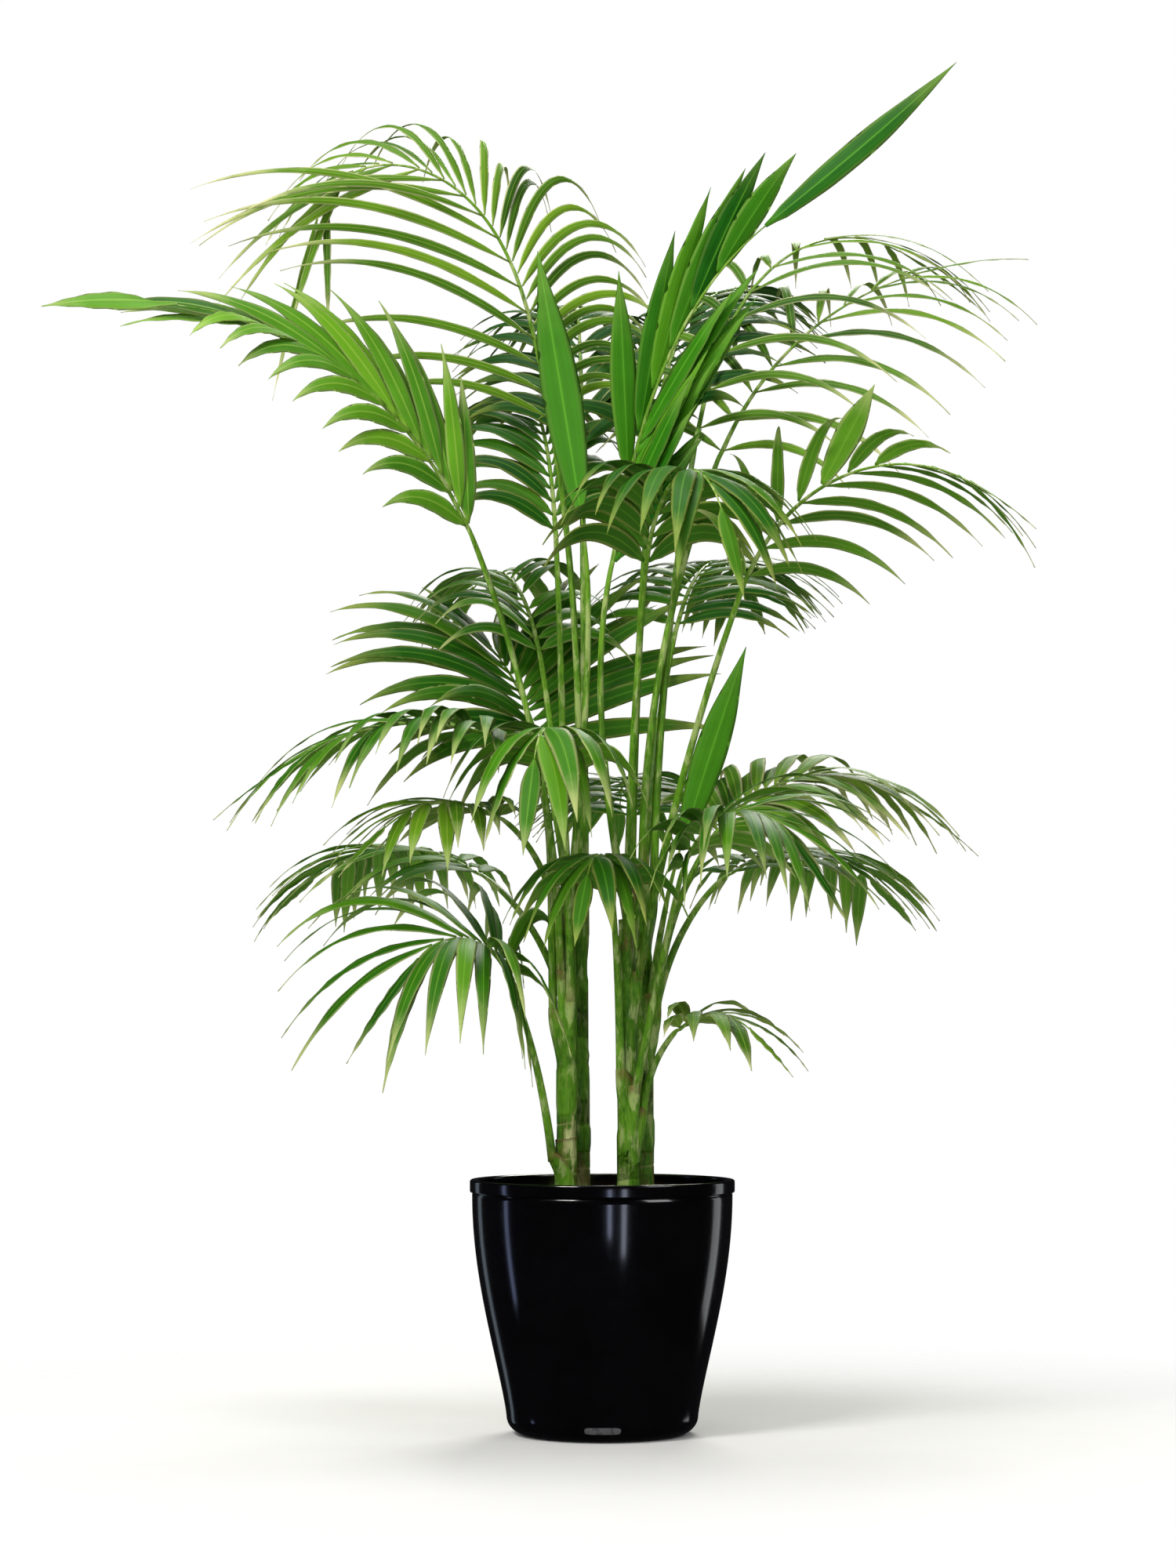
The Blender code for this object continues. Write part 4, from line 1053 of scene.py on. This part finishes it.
def potRadius(height):
    # quarter ellipse at the foot, then shoulder + (body - shoulder) * sin(t * pi / 2)^1.2
    p = potShape
    near = np.clip(height / p["shoulderHeight"], 0, 1)
    foot = mixed(p["footRadius"], p["shoulderRadius"], np.sqrt(np.clip(1 - (1 - near) ** 2, 0, 1)))
    climb = np.clip((height - p["shoulderHeight"]) / (p["bodyHeight"] - p["shoulderHeight"]), 0, 1)
    body = mixed(p["shoulderRadius"], p["bodyRadius"], np.sin(climb * np.pi / 2) ** 1.2)
    return np.where(height < p["shoulderHeight"], foot, body)


def turnedGrid(profile, columns):
    # a profile of radius and height spun about Z, closed by fans on the axis
    turn = roundTurn(columns)
    around = headingVector(np.degrees(turn))
    rings = profile[:, 0, None, None] * around[None] + profile[:, 1, None, None] * upward
    path = np.concatenate([[0], np.cumsum(np.linalg.norm(np.diff(profile, axis=0), axis=1))])
    return closedTube(rings, path, masksLike(rings))


def potProfile():
    # underside, foot curve, body, rolled lip, then down the inside to the planter's floor
    p = potShape
    turn = np.linspace(0, np.pi / 2, 14)
    foot = np.stack([np.zeros(14), p["shoulderHeight"] * (1 - np.cos(turn))], -1)
    foot[:, 0] = potRadius(foot[:, 1])
    body = np.linspace(p["shoulderHeight"], p["bodyHeight"] - 0.0012, 46)[1:]
    body = np.stack([potRadius(body), body], -1)
    low, high, out = p["bodyHeight"], p["height"], p["rimRadius"]
    inner = out - p["rimWidth"]
    corner = 0.0030
    turn = np.linspace(0, np.pi / 2, 7)
    neck = [(p["bodyRadius"] - 0.0008, low - 0.0004), (p["bodyRadius"] - 0.0006, low + 0.0004)]
    lower = np.stack([out - 0.0020 + 0.0020 * np.sin(turn), low + 0.0032 - 0.0022 * np.cos(turn)], -1)
    upper = np.stack([out - corner + corner * np.cos(turn), high - corner + corner * np.sin(turn)], -1)
    inside = np.stack([inner + corner - corner * np.sin(turn), high - corner + corner * np.cos(turn)], -1)
    wall = np.linspace(low - 0.002, p["floor"], 20)
    wall = np.stack([potRadius(wall) - p["wall"], wall], -1)
    underside = np.array([(0.02, 0.0), (0.06, 0.0), (p["footRadius"] - 0.001, 0.0)])
    return np.concatenate([underside, foot, body, neck, lower, upper, inside, wall, [(0.02, p["floor"])]])


def potMaterial():
    # deep black under a soft gloss, with faint mottling, scuffs and the lightest orange peel
    material, tree, sockets = newMaterial("potGlossBlack", 0.06, coat=1.0)
    sockets["Coat Roughness"].default_value = 0.10
    body = objectPlace(tree)
    black = mottled(tree, body, 9.0, (0.0008, 0.0008, 0.0012), (0.0025, 0.0025, 0.0034), Amount=0.5)
    scuffs = spread(tree, noise(tree, body, 140.0, 2.0), 0.55, 0.8)
    peel = noise(tree, body, 35.0, 1.0)
    feed(tree, sockets, black["Color"], plusScaled(tree, 0.14, scuffs, 0.12), peel, 0.03, 0.0008)
    return material


newPiece("planter", turnedGrid(potProfile(), potShape["columns"]), potMaterial(), ["pot"],
         smooth=50)

plateShape = dict(half=0.024, tall=0.0045, middle=0.0165, columns=48,
                  size=(1.0, 1.0, 1.0, 0.985, 0.95, 0.8, 0.6, 0.35, 0.1),
                  proud=(-0.0012, 0.0, 0.00030, 0.00045, 0.0005, 0.0005, 0.0005, 0.0005, 0.0005))


def plateGrid():
    # small bare plate on the foot: a rounded rectangle bent round the planter, standing 0.5 mm proud
    p = plateShape
    turn = roundTurn(p["columns"])
    x, z = np.cos(turn), np.sin(turn)
    wide = np.sign(x) * np.abs(x) ** 0.35
    tall = np.sign(z) * np.abs(z) ** 0.5
    size = np.array(p["size"])[:, None]
    x = p["half"] * size * wide
    z = p["middle"] + p["tall"] * size * tall
    radius = potRadius(z) + np.array(p["proud"])[:, None]
    angle = x / potShape["shoulderRadius"]
    rings = np.stack([radius * np.sin(angle), -radius * np.cos(angle), z], -1)
    return closedTube(rings, np.arange(len(size)) / len(size), masksLike(rings))


def plateMaterial():
    material, tree, sockets = newMaterial("plateGrey", 0.25, coat=0.2)
    grey = mottled(tree, objectPlace(tree), 90.0, (0.05, 0.05, 0.055), (0.09, 0.09, 0.095))
    feed(tree, sockets, grey["Color"], spread(tree, grey["Value"], 0.0, 1.0, 0.2, 0.35))
    return material


newPiece("foot_plate", plateGrid(), plateMaterial(), [], smooth=40)
print("planter made")


# soil

soilShape = dict(top=0.300, rise=0.006, core=0.100, rings=46, columns=150, relief=0.0026, crumbs=1100,
                 chips=150)


def soilTopAt(x, y):
    # level middle falling by the rise to the wall, with a lumpy relief
    s = soilShape
    wall = potRadius(s["top"]) - potShape["wall"]
    level = s["top"] - s["rise"] * np.clip((np.hypot(x, y) - s["core"]) / (wall - s["core"]), 0, 1)
    return level + s["relief"] * ripples(np.stack([x, y, 0 * x], -1), 120.0, 7, 5) - 0.001


def soilGrid():
    # fan of rings across the top, then down the wall and under, closed
    s = soilShape
    edge = s["top"] - s["rise"]
    skin = potShape["wall"] + gap
    turn = roundTurn(s["columns"])
    reach = np.linspace(0.004, float(potRadius(edge) - skin), s["rings"])[::-1, None]
    x, y = reach * np.cos(turn), reach * np.sin(turn)
    top = np.stack([x, y, soilTopAt(x, y)], -1)
    low = np.linspace(potShape["floor"] + gap, edge - 0.006, 8)[:, None]
    radius = potRadius(low) - skin
    side = np.stack(np.broadcast_arrays(radius * np.cos(turn), radius * np.sin(turn), low), -1)
    rings = np.concatenate([side[:1] * np.array([0.1, 0.1, 1.0]), side, top])
    return closedTube(rings, np.linspace(0, 1, len(rings)), masksLike(rings, 0.4))


lumpLook = dict(reachAt=0.295, clearOfWall=0.012, clearOfStem=0.027, rough=0.30, squash=(0.6, 1.3), tilt=0.35)


def lumpsGrid(count, sizes, flat, seed, rows=6, columns=8):
    # many small lumps at once: a sphere of rows by columns whose radius varies, squashed, turned
    # and dropped on the soil clear of the stems and the wall
    draw = np.random.default_rng(seed)
    look = lumpLook
    widest = potRadius(look["reachAt"]) - look["clearOfWall"]
    reach = widest * np.sqrt(draw.uniform(0, 1, count * 2))
    turn = draw.uniform(0, 2 * np.pi, count * 2)
    x, y = reach * np.cos(turn), reach * np.sin(turn)
    away = np.min([np.hypot(x - stem["foot"][0], y - stem["foot"][1]) for stem in stems.values()], 0)
    clear = away > look["clearOfStem"]
    x, y = x[clear][:count], y[clear][:count]
    count = len(x)
    lat = (np.linspace(-1, 1, rows) * 0.92 * np.pi / 2)[:, None]
    lon = roundTurn(columns)
    ball = np.stack([np.cos(lat) * np.cos(lon), np.cos(lat) * np.sin(lon), np.sin(lat) + 0 * lon], -1)
    lumps = ball * (1 + look["rough"] * draw.uniform(-1, 1, (count, rows, columns, 1)))
    size = draw.uniform(*sizes, (count, 1, 1, 1)) * draw.uniform(*look["squash"], (count, 1, 1, 3))
    lumps = lumps * size * np.array([1, 1, flat])
    spin = draw.uniform(0, 2 * np.pi, count)[:, None, None]
    tilt = draw.normal(0, look["tilt"], count)[:, None, None]
    ahead, above = rotated(lumps[..., 0], lumps[..., 2], tilt)
    ahead, aside = rotated(ahead, lumps[..., 1], spin)
    lift = soilTopAt(x, y)[:, None, None] + size[..., 0] * flat * 0.35
    points = np.stack([x[:, None, None] + ahead, y[:, None, None] + aside, lift + above], -1)
    tones = draw.uniform(0, 1, count)
    shares = np.linspace(0, 1, rows)
    return joined([closedTube(lump, shares, masksLike(lump, tone)) for lump, tone in zip(points, tones)])


def soilMaterial(name, low, high, light):
    # two browns by noise, each lump lighter or darker by its own tone
    material, tree, sockets = newMaterial(name, 0.9, 0.25)
    channels = maskChannels(tree)
    base = mottled(tree, objectPlace(tree), 120.0, low, high)
    colour = blended(tree, times(tree, channels[0], 0.6), base["Color"], (*light, 1))
    feed(tree, sockets, colour, spread(tree, base["Value"], 0.0, 1.0, 0.75, 0.97), base["Value"], 0.6, 0.002)
    return material


soilBrown = soilMaterial("soilBrown", (0.010, 0.006, 0.004), (0.045, 0.027, 0.015), (0.05, 0.03, 0.017))
crumbBrown = soilMaterial("crumbBrown", (0.012, 0.007, 0.004), (0.05, 0.03, 0.016), (0.075, 0.048, 0.026))
barkBrown = soilMaterial("barkBrown", (0.035, 0.016, 0.008), (0.12, 0.062, 0.030), (0.17, 0.10, 0.05))
crumbs = lumpsGrid(soilShape["crumbs"], (0.0012, 0.0038), 0.8, 11)
chips = lumpsGrid(soilShape["chips"], (0.0045, 0.0090), 0.32, 12)
newPiece("potting_soil", soilGrid(), soilBrown, ["soil"])
newPiece("soil_crumbs", crumbs, crumbBrown, [], smooth=60)
newPiece("bark_chips", chips, barkBrown, [], smooth=35)
print("soil made")


# stage, light and camera

stageShape = dict(radius=3.2, rings=40, columns=96)


def stageFloor():
    # pale disc whose edge fades into the backdrop
    turn = roundTurn(stageShape["columns"])
    reach = np.linspace(0.02, stageShape["radius"], stageShape["rings"])[:, None]
    rings = np.stack(np.broadcast_arrays(reach * np.cos(turn), reach * np.sin(turn), -0.0004), -1)
    rows, columns = rings.shape[:2]
    quads = tubeQuads(rows, columns)[:, ::-1].tolist()
    mesh = bpy.data.meshes.new("paleFloor")
    mesh.from_pydata(rings.reshape(-1, 3).tolist(), [], quads + [list(range(columns))])
    floor = inScene("paleFloor", mesh)
    material, tree, sockets = newMaterial("floorPale", 0.8, 0.2)
    body = objectPlace(tree)
    pale = mottled(tree, body, 1.5, (0.88, 0.88, 0.88), (0.90, 0.90, 0.90))
    feed(tree, sockets, pale["Color"])
    reachOut = wire(tree, "VectorMath", {0: body}, operation="LENGTH").outputs["Value"]
    tree.links.new(spread(tree, reachOut, 0.45, 1.5, 1.0, 0.0), sockets["Alpha"])
    mesh.materials.append(material)
    floor.visible_glossy = False


def softWorld():
    # white to the camera, a soft even light for surfaces and near dark for mirror reflections
    world = bpy.data.worlds.new("softStudio")
    bpy.context.scene.world = world
    world.use_nodes = True
    tree = world.node_tree
    tree.nodes.clear()
    ray = wire(tree, "LightPath").outputs
    glow = blended(tree, ray["Is Glossy Ray"], (1.0, 0.99, 0.97, 1), (0.022, 0.022, 0.025, 1))
    seen = blended(tree, ray["Is Camera Ray"], glow, (1, 1, 1, 1))
    strength = wire(tree, "MapRange", {0: ray["Is Camera Ray"], 3: 0.33, 4: 1.0}).outputs[0]
    shade = wire(tree, "Background", {0: seen, 1: strength})
    tree.links.new(shade.outputs[0], wire(tree, "OutputWorld").inputs[0])


def pointed(body, place, aimHeight, aside=0.0):
    # at the place, looking at a height over the middle, or a little aside of it
    body.location = place
    body.rotation_euler = (Vector((aside, 0, aimHeight)) - Vector(place)).to_track_quat("-Z", "Y").to_euler()


def softLight(name, place, aimHeight, size, power, colour=(1, 1, 1), mirrored=True):
    light = bpy.data.lights.new(name, "AREA")
    light.shape = "RECTANGLE"
    light.size, light.size_y = size
    light.energy = power
    light.color = colour
    lamp = inScene(name, light)
    lamp.visible_glossy = mirrored
    pointed(lamp, place, aimHeight)


stageFloor()
softWorld()
softLight("keyBox", (-1.9, -2.6, 3.4), 0.9, (1.1, 1.1), 104, (1.0, 0.98, 0.93))
softLight("fillBox", (2.6, -2.0, 2.2), 0.9, (1.4, 1.4), 18)
softLight("lowBox", (-1.0, -3.0, 0.9), 0.7, (1.6, 1.0), 27, (1.0, 0.99, 0.95), mirrored=False)
softLight("backBox", (0.6, 2.8, 3.0), 1.1, (1.4, 1.0), 70, (1.0, 0.99, 0.92))
softLight("topBox", (-0.2, 0.1, 4.2), 0.9, (1.6, 1.6), 40)
softLight("rightStrip", (1.93, 1.05, 0.20), 0.2, (0.50, 1.3), 1.5, (0.95, 0.98, 1.0))
softLight("leftStrip", (-2.2, 0.05, 0.12), 0.2, (0.16, 1.3), 0.9, (0.50, 0.60, 1.0))
softLight("leftEdge", (-1.5, 1.5, 0.12), 0.2, (0.30, 1.4), 0.45, (0.70, 0.85, 1.0))
softLight("frontBarOne", (0.24, -2.3, 0.10), 0.25, (0.13, 0.60), 0.75, (0.62, 0.70, 1.0))
softLight("frontBarTwo", (0.72, -2.2, 0.02), 0.25, (0.16, 0.80), 1.15, (0.72, 0.80, 1.0))

cameraSetting = dict(place=(-0.019, -5.0, 0.57), aimHeight=0.861, aside=-0.019)
camera = bpy.data.cameras.new("camera")
camera.sensor_fit = "VERTICAL"
camera.sensor_height = 36
camera.lens = 86
cameraBody = inScene("camera", camera)
pointed(cameraBody, **cameraSetting)
bpy.context.scene.camera = cameraBody
bpy.context.scene.view_settings.view_transform = "Standard"
print("stage made")
